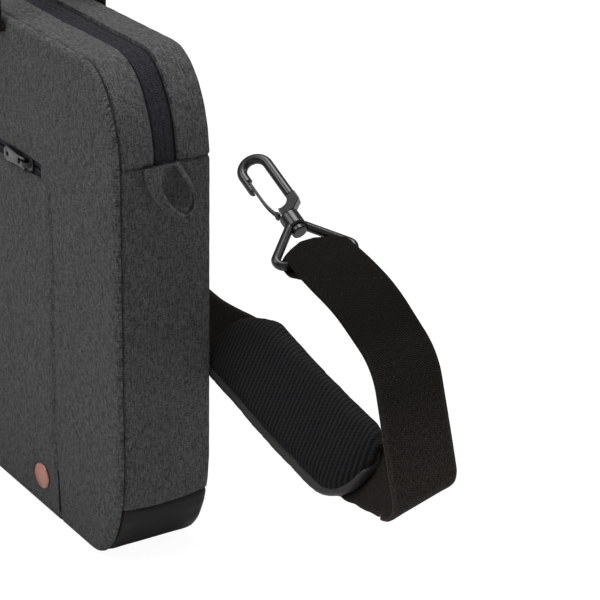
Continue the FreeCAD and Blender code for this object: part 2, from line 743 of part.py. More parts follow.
def hook_loop():
    """The strap frame: a rod bent to a trapezoid, with a bored boss for the swivel."""
    half = loop_corner_half()
    points = [V(0, 0, 0), V(0, half, 0), V(LOOP_FRAME_H, LOOP_APEX_HALF, 0),
              V(LOOP_FRAME_H, -LOOP_APEX_HALF, 0), V(0, -half, 0)]
    r = LOOP_CORNER_R
    path = rounded_path(points + [V(0, 0, 0)], [0, r, LOOP_APEX_R, LOOP_APEX_R, r, 0])
    frame = rod(path, BAR_R)
    boss_start = V(LOOP_FRAME_H - BOSS_LOW, 0, 0)
    boss_end = V(LOOP_FRAME_H + BOSS_HIGH, 0, 0)
    boss = cylinder(BOSS_R, boss_start, boss_end)
    boss = boss.makeChamfer(BOSS_EDGE, [e for e in boss.Edges if e.Length > 2 * BOSS_R])
    bore = cylinder(STEM_R + STEM_GAP, V(LOOP_FRAME_H / 2, 0, 0), V(HOOK_LEN, 0, 0))
    seat_start = boss_start - V(STEM_HEAD_T + CUT_PAST, 0, 0)
    seat = cylinder(STEM_HEAD_R + STEM_END_GAP, seat_start, boss_start)
    return frame.fuse(boss).cut(bore).cut(seat).removeSplitter()


def hook_body():
    """A moulded J with a stem that turns in the frame's boss and a head that keeps it there."""
    nose = nose_v()
    crown = crown_centre()
    base_u = LOOP_FRAME_H + BOSS_HIGH + STEM_END_GAP
    foot = V(base_u + BASE_L, SPINE_V, 0)
    path = Part.Wire([
        Part.makeLine(foot, V(crown, SPINE_V, 0)),
        Part.Arc(V(crown, SPINE_V, 0), V(crown + HOOK_BEND_R, SPINE_V - HOOK_BEND_R, 0),
                 V(crown, nose, 0)).toShape(),
        Part.makeLine(V(crown, nose, 0), V(crown - NOSE_L, nose, 0))])
    jay = rod(path, HOOK_ROD_R)
    nose_end = V(crown - NOSE_L, nose, 0)
    jay = jay.fuse(Part.makeSphere(HOOK_ROD_R, nose_end))
    notch = box(crown - NOSE_L - 2 * HOOK_ROD_R, crown - NOSE_L + NOSE_NOTCH_L, nose - NOSE_SEAT,
                nose + 2 * HOOK_ROD_R, -2 * HOOK_ROD_R, 2 * HOOK_ROD_R)
    jay = jay.cut(notch)
    outer_v, inner_v = SPINE_V + HOOK_ROD_R, SPINE_V - HOOK_ROD_R
    low = -BASE_T / 2
    end = base_u + BASE_L
    base_pts = [V(base_u, -STEM_R, low), V(base_u, STEM_HEAD_R, low), V(end - BASE_SHOULDER_L, outer_v, low),
                V(end + BASE_NECK_L, outer_v, low), V(end + BASE_NECK_L, inner_v, low)]
    bowl = V(end + BASE_BOWL_L, inner_v - BASE_BOWL_DEPTH, low)
    tip = V(end - BASE_LIP, -STEM_R, low)
    edges = [Part.makeLine(here, there) for here, there in zip(base_pts, base_pts[1:])]
    edges.append(Part.Arc(base_pts[-1], bowl, tip).toShape())
    edges.append(Part.makeLine(tip, base_pts[0]))
    base = Part.Face(Part.Wire(edges)).extrude(V(0, 0, BASE_T))
    head_end = LOOP_FRAME_H - BOSS_LOW - STEM_END_GAP
    stem = cylinder(STEM_R, V(head_end - STEM_HEAD_T, 0, 0), V(base_u + STEM_LAP, 0, 0))
    head = cylinder(STEM_HEAD_R, V(head_end - STEM_HEAD_T, 0, 0), V(head_end, 0, 0))
    return jay.fuse([base, stem, head]).removeSplitter()


def gate_root():
    base_u = LOOP_FRAME_H + BOSS_HIGH + STEM_END_GAP
    return V(base_u + BASE_L / 2, -STEM_R - GATE_GAP - GATE_ROOT_R, 0)


def hook_gate():
    """A thin bowed leaf whose straight end springs against the inside of the nose."""
    root = gate_root()
    seat_v = nose_v() - NOSE_SEAT + GATE_GAP + GATE_T / 2
    tip = V(crown_centre() - NOSE_L + NOSE_NOTCH_L - GATE_END_GAP, seat_v, 0)
    bend = tip - V(LEAF_SEAT_L, 0, 0)
    reach, rise = bend.x - root.x, root.y - bend.y
    bow_r = (reach ** 2 + rise ** 2) / (2 * rise)
    half = math.asin(reach / bow_r) / 2
    middle = V(bend.x - bow_r * math.sin(half), bend.y + bow_r * (1 - math.cos(half)), 0)
    arc = Part.Arc(root, middle, bend).toShape()
    leaf_path = Part.Wire([arc, Part.makeLine(bend, tip)])
    outward = arc.tangentAt(arc.FirstParameter).cross(V(0, 0, 1)).normalize() * (GATE_T / 2)
    up = V(0, 0, GATE_W / 2)
    ring = [root + outward + up, root - outward + up, root - outward - up, root + outward - up]
    leaf = leaf_path.makePipeShell([Part.makePolygon(ring + [ring[0]])], True, False)
    knuckle = cylinder(GATE_ROOT_R, root - up, root + up)
    return leaf.fuse(knuckle).removeSplitter()


def turned(shape, degrees):
    spun = shape.copy()
    spun.rotate(V(0, 0, 0), V(1, 0, 0), degrees)
    return spun


# ---- strap ----------------------------------------------------------------------------------------
def right_hook_axis():
    a = math.radians(HOOK_RISE)
    return V(-math.cos(a), 0, math.sin(a))


def right_hook_frame():
    return frame_of(HOOK_BAR, right_hook_axis(), V(0, 1, 0))


def lift():
    return FreeCAD.Rotation(V(0, 1, 0), LOOP_LIFT_LEFT)


def left_hook_axis():
    """From the bar to the crown, square to the loop's band where it hangs on it."""
    a = math.radians(LEFT_HOOK_TILT)
    return lift().multVec(V(0, -math.sin(a), math.cos(a)))


def left_band_middle():
    """Middle of the band at the back corner of the left loop, where the hook pulls on it."""
    a = math.radians(LEFT_HOOK_TILT)
    radius = LOOP_TURN_R - LOOP_T / 2
    centre = V(-HALF_W - SOFT_GAP - LOOP_W / 2, LOOP_SPAN / 2 + LOOP_T / 2 - LOOP_TURN_R,
               ZIP_END_Z - LOOP_DROP + LOOP_TURN_R)
    corner = centre + V(0, math.sin(a), -math.cos(a)) * radius
    return FreeCAD.Placement(V(0, 0, 0), lift(), loop_hinge(-1)).multVec(corner)


def left_bar():
    crown = left_band_middle() - lift().multVec(V(SPINE_V - HOOK_BEND_R, 0, 0))
    return crown - left_hook_axis() * (crown_centre() + HOOK_HOLD)


def strap_run():
    return (PAD_END - left_bar()).normalize()


def strap_across():
    return left_hook_axis().cross(strap_run()).normalize()


def strap_frame():
    """Local X along the strap from the left bar, Y across it, Z towards the wearer's front."""
    return frame_of(left_bar(), strap_run(), strap_across())


def strap_length():
    return (PAD_END - left_bar()).Length


def left_hook_frame():
    return frame_of(left_bar(), left_hook_axis(), strap_across())


def left_hook_roll():
    """Turn on the swivel that lays the left hook across the loop's band."""
    lateral = left_hook_frame().inverse().Rotation.multVec(lift().multVec(V(1, 0, 0)))
    return math.degrees(math.atan2(lateral.z, lateral.y))


def wrap_radius():
    return BAR_R + WEB_FOLD_GAP + WEB_T / 2


def strap_webbing_left():
    """From the pad back to the left hook's bar, round it, and back through the adjuster."""
    r = wrap_radius()
    points = [V(RETURN_L, 0, LAYER_HALF), V(FOLD_TAPER, 0, LAYER_HALF), V(r, 0, r), V(-r, 0, r),
              V(-r, 0, -r), V(r, 0, -r), V(FOLD_TAPER, 0, -LAYER_HALF), V(strap_length(), 0, -LAYER_HALF)]
    radii = [0, FOLD_TAPER, r, r, r, r, FOLD_TAPER, 0]
    return placed(strip(points, radii, WEB_W, WEB_T), strap_frame())


def limb_corners():
    """Corners of the near limb: round the bar, out over the top, down, and round the tight turn."""
    r = wrap_radius()
    fall = math.radians(LIMB_FALL)
    along, up = V(math.cos(fall), 0, -math.sin(fall)), V(math.sin(fall), 0, math.cos(fall))
    tail = r - WEB_T - WEB_FOLD_GAP

    def at(a, b):
        return HOOK_BAR + along * a + up * b

    fold = [at(TAIL_L, tail), at(TAIL_TAPER, tail), at(r, -r), at(-r, -r), at(-r, r)]
    shoulder = HOOK_BAR + V(LIMB_SHOULDER_X, 0, -LIMB_SHOULDER_DROP)
    turn = HOOK_BAR + V(LIMB_TURN_X, 0, -LIMB_TURN_DROP)
    return fold + [at(LIMB_FIRST, r), shoulder, turn, turn - V(LIMB_END_BACK, 0, LIMB_END_DROP)]


def near_limb():
    r = wrap_radius()
    radii = [0, r, r, r, r, LIMB_FIRST_R, LIMB_SHOULDER_R, LIMB_TURN_R, 0]
    return strip(limb_corners(), radii, WEB_W, WEB_T)


def far_limb():
    """From the tight turn back to the pad, twisting as it goes."""
    turn, end = limb_corners()[-2:]
    heading = (end - turn).normalize()
    level, across, run = V(0, 1, 0), strap_across(), strap_run()
    joint = PAD_END - run.cross(across) * LAYER_HALF
    span = joint - end
    stations = [(end, level), (end + heading * END_RUN, level)]
    for share, rise, back, turn in FAR_LIMB_SHAPE:
        middle = end + V(span.x * share, span.y * share + back * WEB_W, span.z * share + rise * WEB_W)
        stations.append((middle, level * (1 - turn) + across * turn))
    stations.append((joint + run * 2 * END_RUN, across))
    stations.append((joint + run * SOFT_GAP, across))
    return ribbon(stations, WEB_W, WEB_T)


def strap_webbing_right():
    """Round the right hook's bar, over and down, through a tight turn and back to the pad."""
    return near_limb().fuse(far_limb())


def pad_outline(inset, z):
    half = PAD_W / 2 - inset
    x0, x1 = strap_length() - PAD_L + inset, strap_length() - inset
    r = PAD_CORNER_R - inset
    start = V((x0 + x1) / 2, -half, z)
    points = [start, V(x1, -half, z), V(x1, half, z), V(x0, half, z), V(x0, -half, z), start]
    return rounded_path(points, [0, r, r, r, r, 0])


def pad_middle():
    return -LAYER_HALF + WEB_T / 2 + SOFT_GAP + PAD_T / 2


def shoulder_pad():
    low = pad_middle() - PAD_T / 2
    pad = Part.Face(pad_outline(PAD_RIM, low)).extrude(V(0, 0, PAD_T))
    rim = [e for e in pad.Edges if e.BoundBox.ZMin > low + PAD_T / 2]
    return placed(pad.makeChamfer(PAD_EDGE, rim), strap_frame())


def pad_binding():
    low = pad_middle() - PAD_T / 2
    ring = Part.Face(pad_outline(0, low)).extrude(V(0, 0, PAD_RIM_T))
    window = Part.Face(pad_outline(PAD_RIM, low - CUT_PAST)).extrude(V(0, 0, PAD_RIM_T + 2 * CUT_PAST))
    ring = ring.cut(window)
    top = [e for e in ring.Edges if e.BoundBox.ZMin > low + PAD_RIM_T / 2]
    return placed(ring.makeChamfer(PAD_RIM_EDGE, top), strap_frame())


def strap_adjuster():
    """A frame round the doubled strap, with a bar between its two layers."""
    inner_w = WEB_W / 2 + ADJUSTER_GAP
    outer_w = inner_w + ADJUSTER_RAIL
    face = LAYER_HALF + WEB_T / 2 + ADJUSTER_GAP
    top = face + ADJUSTER_BAR_T
    x0, x1 = ADJUSTER_S - ADJUSTER_L / 2, ADJUSTER_S + ADJUSTER_L / 2
    pieces = []
    for s in (-1, 1):
        y0, y1 = sorted((s * inner_w, s * outer_w))
        pieces.append(box(x0, x1, y0, y1, -LAYER_HALF, top))
    for x in (x0, x1 - ADJUSTER_BAR):
        pieces.append(box(x, x + ADJUSTER_BAR, -outer_w, outer_w, face, top))
    bar_half = LAYER_HALF - WEB_T / 2 - ADJUSTER_GAP
    pieces.append(box(ADJUSTER_S - ADJUSTER_BAR / 2, ADJUSTER_S + ADJUSTER_BAR / 2, -outer_w, outer_w,
                      -bar_half, bar_half))
    frame = pieces[0].fuse(pieces[1:]).removeSplitter()
    depth = top + LAYER_HALF
    corners = [e for e in frame.Edges if e.BoundBox.ZLength > depth - SOFT_GAP
               and abs(abs(e.Vertexes[0].Y) - outer_w) < SOFT_GAP
               and min(abs(e.Vertexes[0].X - x0), abs(e.Vertexes[0].X - x1)) < SOFT_GAP]
    return placed(frame.makeFillet(ADJUSTER_CORNER_R, corners), strap_frame())


NODES = {
    "back_panel": back_panel,
    "front_panel": front_panel,
    "pocket_panel": pocket_panel,
    "pocket_lining": pocket_lining,
    "pocket_zip_tape": pocket_zip_tape,
    "badge": badge,
    "badge_washer": badge_washer,
    "seam_tab": seam_tab,
    "side_gusset_right": lambda: side_gusset(1),
    "side_gusset_left": lambda: side_gusset(-1),
    "bottom_panel": bottom_panel,
    "zip_gusset_back": lambda: zip_gusset(1),
    "zip_gusset_front": lambda: zip_gusset(-1),
    "zip_tape_back": lambda: zip_tape(1),
    "zip_tape_front": lambda: zip_tape(-1),
    "upper_front_panel": upper_front_panel,
    "seam_binding_back": lambda: seam_binding(1),
    "seam_binding_front": lambda: seam_binding(-1),
    "base_board": base_board,
    "padded_sleeve": padded_sleeve,
    "divider_right": lambda: divider(1),
    "divider_left": lambda: divider(-1),
    "zip_slider_right": lambda: zip_slider(1),
    "zip_slider_left": lambda: zip_slider(-1),
    "zip_pull_right": lambda: zip_pull(1),
    "zip_pull_left": lambda: zip_pull(-1),
    "pocket_slider": pocket_slider,
    "pocket_pull": pocket_pull,
    "carry_handle_front": lambda: carry_handle(-1),
    "carry_handle_back": lambda: carry_handle(1),
    "handle_grip_front": lambda: handle_grip(-1),
    "handle_grip_back": lambda: handle_grip(1),
    "side_loop_right": lambda: side_loop(1),
    "side_loop_left": lambda: side_loop(-1),
    "hook_loop_right": lambda: placed(hook_loop(), right_hook_frame()),
    "hook_body_right": lambda: placed(turned(hook_body(), HOOK_ROLL), right_hook_frame()),
    "hook_gate_right": lambda: placed(turned(hook_gate(), HOOK_ROLL), right_hook_frame()),
    "hook_loop_left": lambda: placed(hook_loop(), left_hook_frame()),
    "hook_body_left": lambda: placed(turned(hook_body(), left_hook_roll()), left_hook_frame()),
    "hook_gate_left": lambda: placed(turned(hook_gate(), left_hook_roll()), left_hook_frame()),
    "strap_webbing_right": strap_webbing_right,
    "strap_webbing_left": strap_webbing_left,
    "shoulder_pad": shoulder_pad,
    "pad_binding": pad_binding,
    "strap_adjuster": strap_adjuster,
}


def main():
    os.makedirs("parts", exist_ok=True)
    for node, build in NODES.items():
        shape = build()
        good = shape.isValid() and all(s.Volume > 0 for s in shape.Solids) and len(shape.Solids) > 0
        print(node, len(shape.Solids), "solids", round(shape.Volume), "mm3", "" if good else "INVALID")
        shape.exportStep("parts/" + node + ".step")


main()
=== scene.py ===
import bpy
import json
import math
import numpy as np
from mathutils import Matrix, Vector

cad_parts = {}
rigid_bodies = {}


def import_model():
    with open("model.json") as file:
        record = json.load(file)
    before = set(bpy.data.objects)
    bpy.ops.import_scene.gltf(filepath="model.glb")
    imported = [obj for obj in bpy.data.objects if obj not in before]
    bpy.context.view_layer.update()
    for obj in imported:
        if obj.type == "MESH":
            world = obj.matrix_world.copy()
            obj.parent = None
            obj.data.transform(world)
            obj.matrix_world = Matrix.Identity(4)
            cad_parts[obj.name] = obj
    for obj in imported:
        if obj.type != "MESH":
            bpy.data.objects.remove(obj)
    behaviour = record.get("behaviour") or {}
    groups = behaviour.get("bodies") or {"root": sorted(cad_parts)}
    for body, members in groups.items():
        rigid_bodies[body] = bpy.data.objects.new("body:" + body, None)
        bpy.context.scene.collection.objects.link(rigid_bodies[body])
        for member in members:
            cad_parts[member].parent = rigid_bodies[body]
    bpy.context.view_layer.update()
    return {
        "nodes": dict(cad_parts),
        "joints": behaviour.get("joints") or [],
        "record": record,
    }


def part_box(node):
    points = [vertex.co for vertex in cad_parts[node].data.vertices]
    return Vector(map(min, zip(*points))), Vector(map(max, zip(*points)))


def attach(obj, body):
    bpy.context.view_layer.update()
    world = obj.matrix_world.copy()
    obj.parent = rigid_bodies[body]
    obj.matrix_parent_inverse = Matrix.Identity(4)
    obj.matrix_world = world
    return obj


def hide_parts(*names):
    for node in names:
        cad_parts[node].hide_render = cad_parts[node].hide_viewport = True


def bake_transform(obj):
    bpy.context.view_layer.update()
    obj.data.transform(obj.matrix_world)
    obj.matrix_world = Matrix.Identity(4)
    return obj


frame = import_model()
joints = {joint["name"]: joint for joint in frame["joints"]}
bodyOf = {node: body for body, nodes in frame["record"]["behaviour"]["bodies"].items() for node in nodes}
slotOf = {part["node"]: part["material_slot"] for part in frame["record"]["subparts"]}
print("frame loaded:", len(frame["nodes"]), "parts")

# ---- selecting and editing ----
selectModes = {"verts": (True, False, False), "edges": (False, True, False), "faces": (False, False, True)}
weldGap = 1e-5      # points closer than this are one point
tiny = 1e-5         # slack when places are compared


def leaveEdit():
    bpy.ops.object.mode_set(mode="OBJECT")


def clearAll():
    if bpy.context.object and bpy.context.object.mode != "OBJECT":
        leaveEdit()
    bpy.ops.object.select_all(action="DESELECT")


def activate(piece):
    clearAll()
    piece.select_set(True)
    bpy.context.view_layer.objects.active = piece
    return piece


def editWhole(piece, operation, **settings):
    activate(piece)
    bpy.ops.object.mode_set(mode="EDIT")
    bpy.ops.mesh.select_all(action="SELECT")
    operation(**settings)
    leaveEdit()


def addPiece(name, data):
    piece = bpy.data.objects.new(name, data)
    bpy.context.scene.collection.objects.link(piece)
    return piece


def settle(piece):
    activate(piece)
    bpy.ops.object.transform_apply(location=True, rotation=True, scale=True)
    return piece


def points(piece):
    flat = np.empty(len(piece.data.vertices) * 3)
    piece.data.vertices.foreach_get("co", flat)
    return flat.reshape(-1, 3)


def movePoints(piece, places):
    piece.data.vertices.foreach_set("co", np.asarray(places, float).ravel())
    piece.data.update()


def outward(piece):
    flat = np.empty(len(piece.data.vertices) * 3)
    piece.data.vertices.foreach_get("normal", flat)
    return flat.reshape(-1, 3)


def pick(piece, kind, test):
    # test takes x, y and z of the middles of all the faces, edges or points at once
    activate(piece)
    mesh = piece.data
    at = points(piece)
    if kind == "verts":
        middles = at
    elif kind == "edges":
        ends = np.array([edge.vertices[:] for edge in mesh.edges])
        middles = at[ends].mean(1)
    else:
        middles = np.array([face.center[:] for face in mesh.polygons])
    chosen = test(*middles.T)
    for group in (mesh.vertices, mesh.edges, mesh.polygons):
        group.foreach_set("select", np.zeros(len(group), bool))
    target = {"verts": mesh.vertices, "edges": mesh.edges, "faces": mesh.polygons}[kind]
    target.foreach_set("select", np.asarray(chosen, bool))
    bpy.context.tool_settings.mesh_select_mode = selectModes[kind]
    bpy.ops.object.mode_set(mode="EDIT")


def edit(piece, kind, test, operation, **settings):
    pick(piece, kind, test)
    operation(**settings)
    leaveEdit()


def cutAcross(piece, axis, places):
    # straight cuts right through, square to one axis
    activate(piece)
    bpy.ops.object.mode_set(mode="EDIT")
    normal = [1.0 if k == axis else 0.0 for k in range(3)]
    for place in places:
        bpy.ops.mesh.select_all(action="SELECT")
        bpy.ops.mesh.bisect(plane_co=[place * n for n in normal], plane_no=normal)
    leaveEdit()


def splitOff(piece, name, test):
    # the faces that pass the test become a piece of their own
    pick(piece, "faces", test)
    before = set(bpy.data.objects)
    bpy.ops.mesh.separate(type="SELECTED")
    leaveEdit()
    part = (set(bpy.data.objects) - before).pop()
    part.name = part.data.name = name
    return part


def modify(piece, kind, **settings):
    activate(piece)
    modifier = piece.modifiers.new(kind.title(), kind)
    for key, value in settings.items():
        setattr(modifier, key, value)
    bpy.ops.object.modifier_apply(modifier=modifier.name)


def smooth(piece, degrees=50):
    # edges sharper than this stay sharp; 0 smooths them all
    activate(piece)
    if degrees:
        bpy.ops.object.shade_smooth_by_angle(angle=math.radians(degrees))
    else:
        bpy.ops.object.shade_smooth()


def layWeave(piece, across, along):
    # the weave's own coordinates, in metres, so that a pattern follows the cloth
    mesh = piece.data
    loops = np.empty(len(mesh.loops), int)
    mesh.loops.foreach_get("vertex_index", loops)
    layer = mesh.uv_layers.get("weave") or mesh.uv_layers.new(name="weave")
    pairs = np.stack([np.asarray(across)[loops], np.asarray(along)[loops]], 1)
    layer.data.foreach_set("uv", pairs.ravel())


def standing(x, y, z, place):
    # where something stands, with its own three directions
    return Matrix([(*row, spot) for row, spot in zip(zip(x, y, z), place)] + [(0, 0, 0, 1)])


def camel(node):
    words = node.split("_")
    return words[0] + "".join(word.title() for word in words[1:])


def copyOf(node, name=None):
    # a merged copy of a CAD part, to be shaped further
    mesh = frame["nodes"][node].data.copy()
    mesh.materials.clear()
    piece = addPiece(name or camel(node), mesh)
    editWhole(piece, bpy.ops.mesh.remove_doubles, threshold=weldGap)
    return piece


def ripple(a, b, seed):
    # slow uneven waves over two coordinates in metres, always the same
    dice = np.random.default_rng(seed)
    total = np.zeros(np.broadcast(a, b).shape)
    for k in range(4):
        turn, phase = dice.uniform(0, 2 * math.pi, 2)
        pace = 2 * math.pi * 1.7 ** k
        total = total + np.sin(pace * (a * math.cos(turn) + b * math.sin(turn)) + phase) / 1.35 ** k
    return total / 2


def dip(distance, width):
    return np.exp(-(distance / width) ** 2)


def unit(share):
    return np.clip(share, 0, 1)


def ease(share):
    share = unit(share)
    return share * share * (3 - 2 * share)


# ---- materials ----
class Wire:
    # a shader socket that takes part in ordinary sums
    def __init__(self, tree, socket):
        self.tree, self.socket = tree, socket

    def math(self, operation, *others):
        return wireUp(self.tree, "Math", {"operation": operation}, dict(enumerate([self, *others])))

    def __add__(self, other):
        return self.math("ADD", other)

    def __mul__(self, other):
        return self.math("MULTIPLY", other)

    def __sub__(self, other):
        return self.math("SUBTRACT", other)

    def __truediv__(self, other):
        return self.math("DIVIDE", other)

    def __rsub__(self, other):
        return self * -1 + other


def wireUp(tree, kind, settings, sockets, out=0):
    node = tree.nodes.new("ShaderNode" + kind)
    for key, value in settings.items():
        setattr(node, key, value)
    for key, value in sockets.items():
        if isinstance(value, Wire):
            tree.links.new(value.socket, node.inputs[key])
        else:
            node.inputs[key].default_value = value
    return Wire(tree, node.outputs[out])


def newFinish(name, **fixed):
    finish = bpy.data.materials.new(name)
    finish.use_nodes = True
    tree = finish.node_tree
    shader = tree.nodes["Principled BSDF"]
    for key, value in fixed.items():
        shader.inputs[key.replace("_", " ")].default_value = value
    return finish, tree, shader


def newCloth(name, **fixed):
    # a finish with the weave's coordinates across and along, in millimetres
    finish, tree, shader = newFinish(name, **fixed)
    place = wireUp(tree, "UVMap", {"uv_map": "weave"}, {})
    split = wireUp(tree, "SeparateXYZ", {}, {0: place})
    u = split * 1000
    v = Wire(tree, split.socket.node.outputs[1]) * 1000
    return finish, shader, u, v


def speckle(u, v, uSize, vSize, detail=3.0, roughness=0.55, seed=0.0):
    spot = wireUp(u.tree, "CombineXYZ", {}, {0: u / uSize + seed, 1: v / vSize, 2: seed})
    return wireUp(u.tree, "TexNoise", {},
                  {"Vector": spot, "Scale": 1.0, "Detail": detail, "Roughness": roughness})


def waves(value, length):
    return (value * (2 * math.pi / length)).math("SINE")


def feed(wire, shader, name):
    wire.tree.links.new(wire.socket, shader.inputs[name])


def paint(shader, tone, cloth):
    # the base colour, from the cloth's dark at tone 0 to its light at tone 1
    ends = {6: (*cloth["dark"], 1), 7: (*cloth["light"], 1)}
    feed(wireUp(tone.tree, "Mix", {"data_type": "RGBA"}, {0: tone, **ends}, out=2), shader, "Base Color")


def bump(shader, height, strength, distance):
    normal = wireUp(height.tree, "Bump", {}, {"Height": height, "Strength": strength, "Distance": distance})
    feed(normal, shader, "Normal")


def spread(value, low, high):
    # stretches low..high to 0..1
    return wireUp(value.tree, "MapRange", {}, {0: value, 1: low, 2: high, 3: 0.0, 4: 1.0})


def grey(level, warm=0.0):
    return (level * (1 + warm), level, level * (1 - warm))


heatherCloth = {
    "dark": grey(0.020), "light": grey(0.112, -0.01),
    "thread": 0.42, "slub": 4.2,        # how thick a yarn's thick places are, and how long; millimetres
    "blotch": 1.3, "weave": 1.4,
}


def heather():
    finish, shader, u, v = newCloth("heatherCloth", Roughness=0.9, Specular_IOR_Level=0.12)
    thread, slub, size = heatherCloth["thread"], heatherCloth["slub"], heatherCloth["blotch"]
    weft = speckle(u, v, slub, thread)
    warp = speckle(u, v, thread, slub, seed=7.3)
    blotch = speckle(u, v, size, size, seed=3.1)
    mix = spread(weft * 0.42 + warp * 0.42 + blotch * 0.22, 0.44, 0.66)
    over = waves(u, heatherCloth["weave"]) * waves(v, heatherCloth["weave"])
    paint(shader, mix * 0.9 + over * 0.09, heatherCloth)
    bump(shader, over * 0.6 + mix, 0.55, 0.0004)
    return finish


coatedCloth = {
    "dark": (0.0062, 0.0057, 0.0053), "light": (0.0125, 0.0114, 0.0106),
    "cell": 1.1, "wear": 26.0,
}


def coated():
    finish, shader, u, v = newCloth("coatedCloth", Specular_IOR_Level=0.12)
    cells = speckle(u, v, coatedCloth["cell"], coatedCloth["cell"], 5.0, 0.6)
    wear = speckle(u, v, coatedCloth["wear"], coatedCloth["wear"])
    tone = spread(cells * 0.5 + wear * 0.5, 0.38, 0.62)
    paint(shader, tone, coatedCloth)
    feed(tone * 0.16 + 0.42, shader, "Roughness")
    bump(shader, cells, 0.35, 0.0003)
    return finish


zipCloth = {
    "dark": (0.0060, 0.0060, 0.0070), "light": (0.038, 0.038, 0.046),
    "half": (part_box("zip_tape_back")[1].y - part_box("zip_tape_front")[0].y) * 500,
    # the first width here: painted shade along each tape edge, under the cloth's lip, in millimetres
    "hem": 1.7, "chain": 2.6, "tooth": 1.5, "twill": 0.75,
}


def zipTape():
    finish, shader, u, v = newCloth("zipTape", Roughness=0.75, Specular_IOR_Level=0.06)
    off = u.math("ABSOLUTE")
    chain = off.math("LESS_THAN", zipCloth["chain"])
    slant = waves(v + off * 0.55, zipCloth["tooth"])
    twill = waves(u + v * 0.5, zipCloth["twill"])
    grain = speckle(u, v, 0.7, 3.0)
    # painted shade: the tape is darker along its edges, where the lip of cloth shades it
    hem = off.math("GREATER_THAN", zipCloth["half"] - zipCloth["hem"])
    tone = spread(grain + slant * chain * 0.10 + twill * 0.05 - hem * 0.22, 0.25, 0.85)
    paint(shader, tone, zipCloth)
    bump(shader, slant * chain * 0.35 + twill * (1 - chain) * 0.25 + grain * 0.3, 0.8, 0.0005)
    return finish


webCloth = {
    "dark": (0.0040, 0.0034, 0.0030), "light": (0.0330, 0.0280, 0.0243),
    "half": 19.0, "selvedge": 2.2, "chevron": 3.2, "twill": 1.15, "end": 0.8,
    "fade": (110.0, 200.0),             # along the strap, painted light: the colour grows lighter from here to here
    "fold": (206.0, 222.0),             # and painted shade darkens it again round the fold
}


def webbing():
    finish, shader, u, v = newCloth("webbing", Roughness=0.8, Specular_IOR_Level=0.04)
    selvedge = (webCloth["half"] - u.math("ABSOLUTE")).math("LESS_THAN", webCloth["selvedge"])
    chevron = (u / webCloth["chevron"]).math("PINGPONG", 1.0) * 1.6
    twill = waves(v + chevron, webCloth["twill"])
    ends = waves(u, webCloth["end"])
    grain = speckle(u, v, 0.5, 2.2)
    tone = spread(grain + twill * 0.08 + ends * 0.05 + selvedge * 0.12, 0.28, 0.86)
    # painted light and shade: lighter down the strap where more light falls, darker at its top and round the
    # fold
    paintedLightLevel = spread(v, *webCloth["fade"]) * (1.75 - spread(v, *webCloth["fold"]) * 1.10) + 0.20
    paint(shader, tone * paintedLightLevel, webCloth)
    bump(shader, twill * 0.5 + ends * 0.3 + grain * 0.5, 0.75, 0.0005)
    return finish


meshCloth = {
    "dark": (0.0030, 0.0028, 0.0028), "light": (0.0170, 0.0160, 0.0175),
    "rib": 0.00325,                     # from one rib to the next, metres
    "cell": 1.9, "grain": 0.6,
}


def spacerMesh():
    # ribs run across, along the first coordinate's steps; each is a row of small open cells
    finish, shader, u, v = newCloth("spacerMesh", Roughness=0.8, Specular_IOR_Level=0.06)
    rib = waves(u, meshCloth["rib"] * 1000)
    cells = waves(u, meshCloth["rib"] * 500) * waves(v, meshCloth["cell"])
    grain = speckle(u, v, meshCloth["grain"], meshCloth["grain"])
    tone = spread(rib * 0.22 + cells * 0.10 + grain * 0.45, -0.08, 0.62)
    paint(shader, tone, meshCloth)
    bump(shader, grain * 0.5 + cells * 0.3 + rib * 0.2, 0.8, 0.0005)
    return finish


bindingCloth = {"dark": (0.0085, 0.008, 0.0078), "light": (0.024, 0.0225, 0.0215), "rib": 0.6, "grain": 0.6}


def binding():
    finish, shader, u, v = newCloth("bindingTape", Roughness=0.62, Specular_IOR_Level=0.3)
    rib = waves(v, bindingCloth["rib"])
    grain = speckle(u, v, bindingCloth["grain"], bindingCloth["grain"])
    paint(shader, spread(grain + rib * 0.05, 0.3, 0.75), bindingCloth)
    bump(shader, grain + rib * 0.3, 0.4, 0.0003)
    return finish


def grainPair(tree, fine, coarse, fineDetail=3.0):
    # two noises in the piece's own coordinates, by how many fit in a metre
    at = wireUp(tree, "TexCoord", {}, {}, out=3)
    return [wireUp(tree, "TexNoise", {}, {"Vector": at, "Scale": scale, "Detail": detail})
            for scale, detail in ((fine, fineDetail), (coarse, 3.0))]


def lining():
    finish, tree, shader = newFinish("liningCloth", Roughness=0.85)
    weave, soft = grainPair(tree, 1400.0, 60.0, 2.0)
    paint(shader, spread(weave * 0.6 + soft * 0.4, 0.35, 0.65), {"dark": grey(0.060), "light": grey(0.115)})
    bump(shader, weave, 0.5, 0.0003)
    return finish


def moulded(name, dark, light, rough, scale=900.0, **fixed):
    # plastic or painted metal with a fine skin and slight wear
    finish, tree, shader = newFinish(name, **fixed)
    skin, wear = grainPair(tree, scale, 70.0)
    paint(shader, spread(skin * 0.4 + wear * 0.6, 0.35, 0.65), {"dark": dark, "light": light})
    feed(wear * 0.2 + (rough - 0.1), shader, "Roughness")
    bump(shader, skin, 0.12, 0.0002)
    return finish


finishes = {
    "grey_fabric": heather(),
    "coated_base": coated(),
    "zip_tape": zipTape(),
    "black_webbing": webbing(),
    "pad_mesh": spacerMesh(),
    "pad_edge": binding(),
    "lining": lining(),
    "board": moulded("stiffener", grey(0.012), grey(0.020), 0.6),
    "black_plastic": moulded("acetal", grey(0.0045, 0.02), grey(0.0080, 0.02), 0.28, 500.0,
                             Specular_IOR_Level=0.32),
    "slider_metal": moulded("lacqueredZinc", grey(0.010), grey(0.022), 0.36, Metallic=0.6),
    "copper": moulded("satinCopper", (0.33, 0.150, 0.115), (0.46, 0.215, 0.165), 0.42, Metallic=0.75),
}
print("finishes made:", len(finishes))


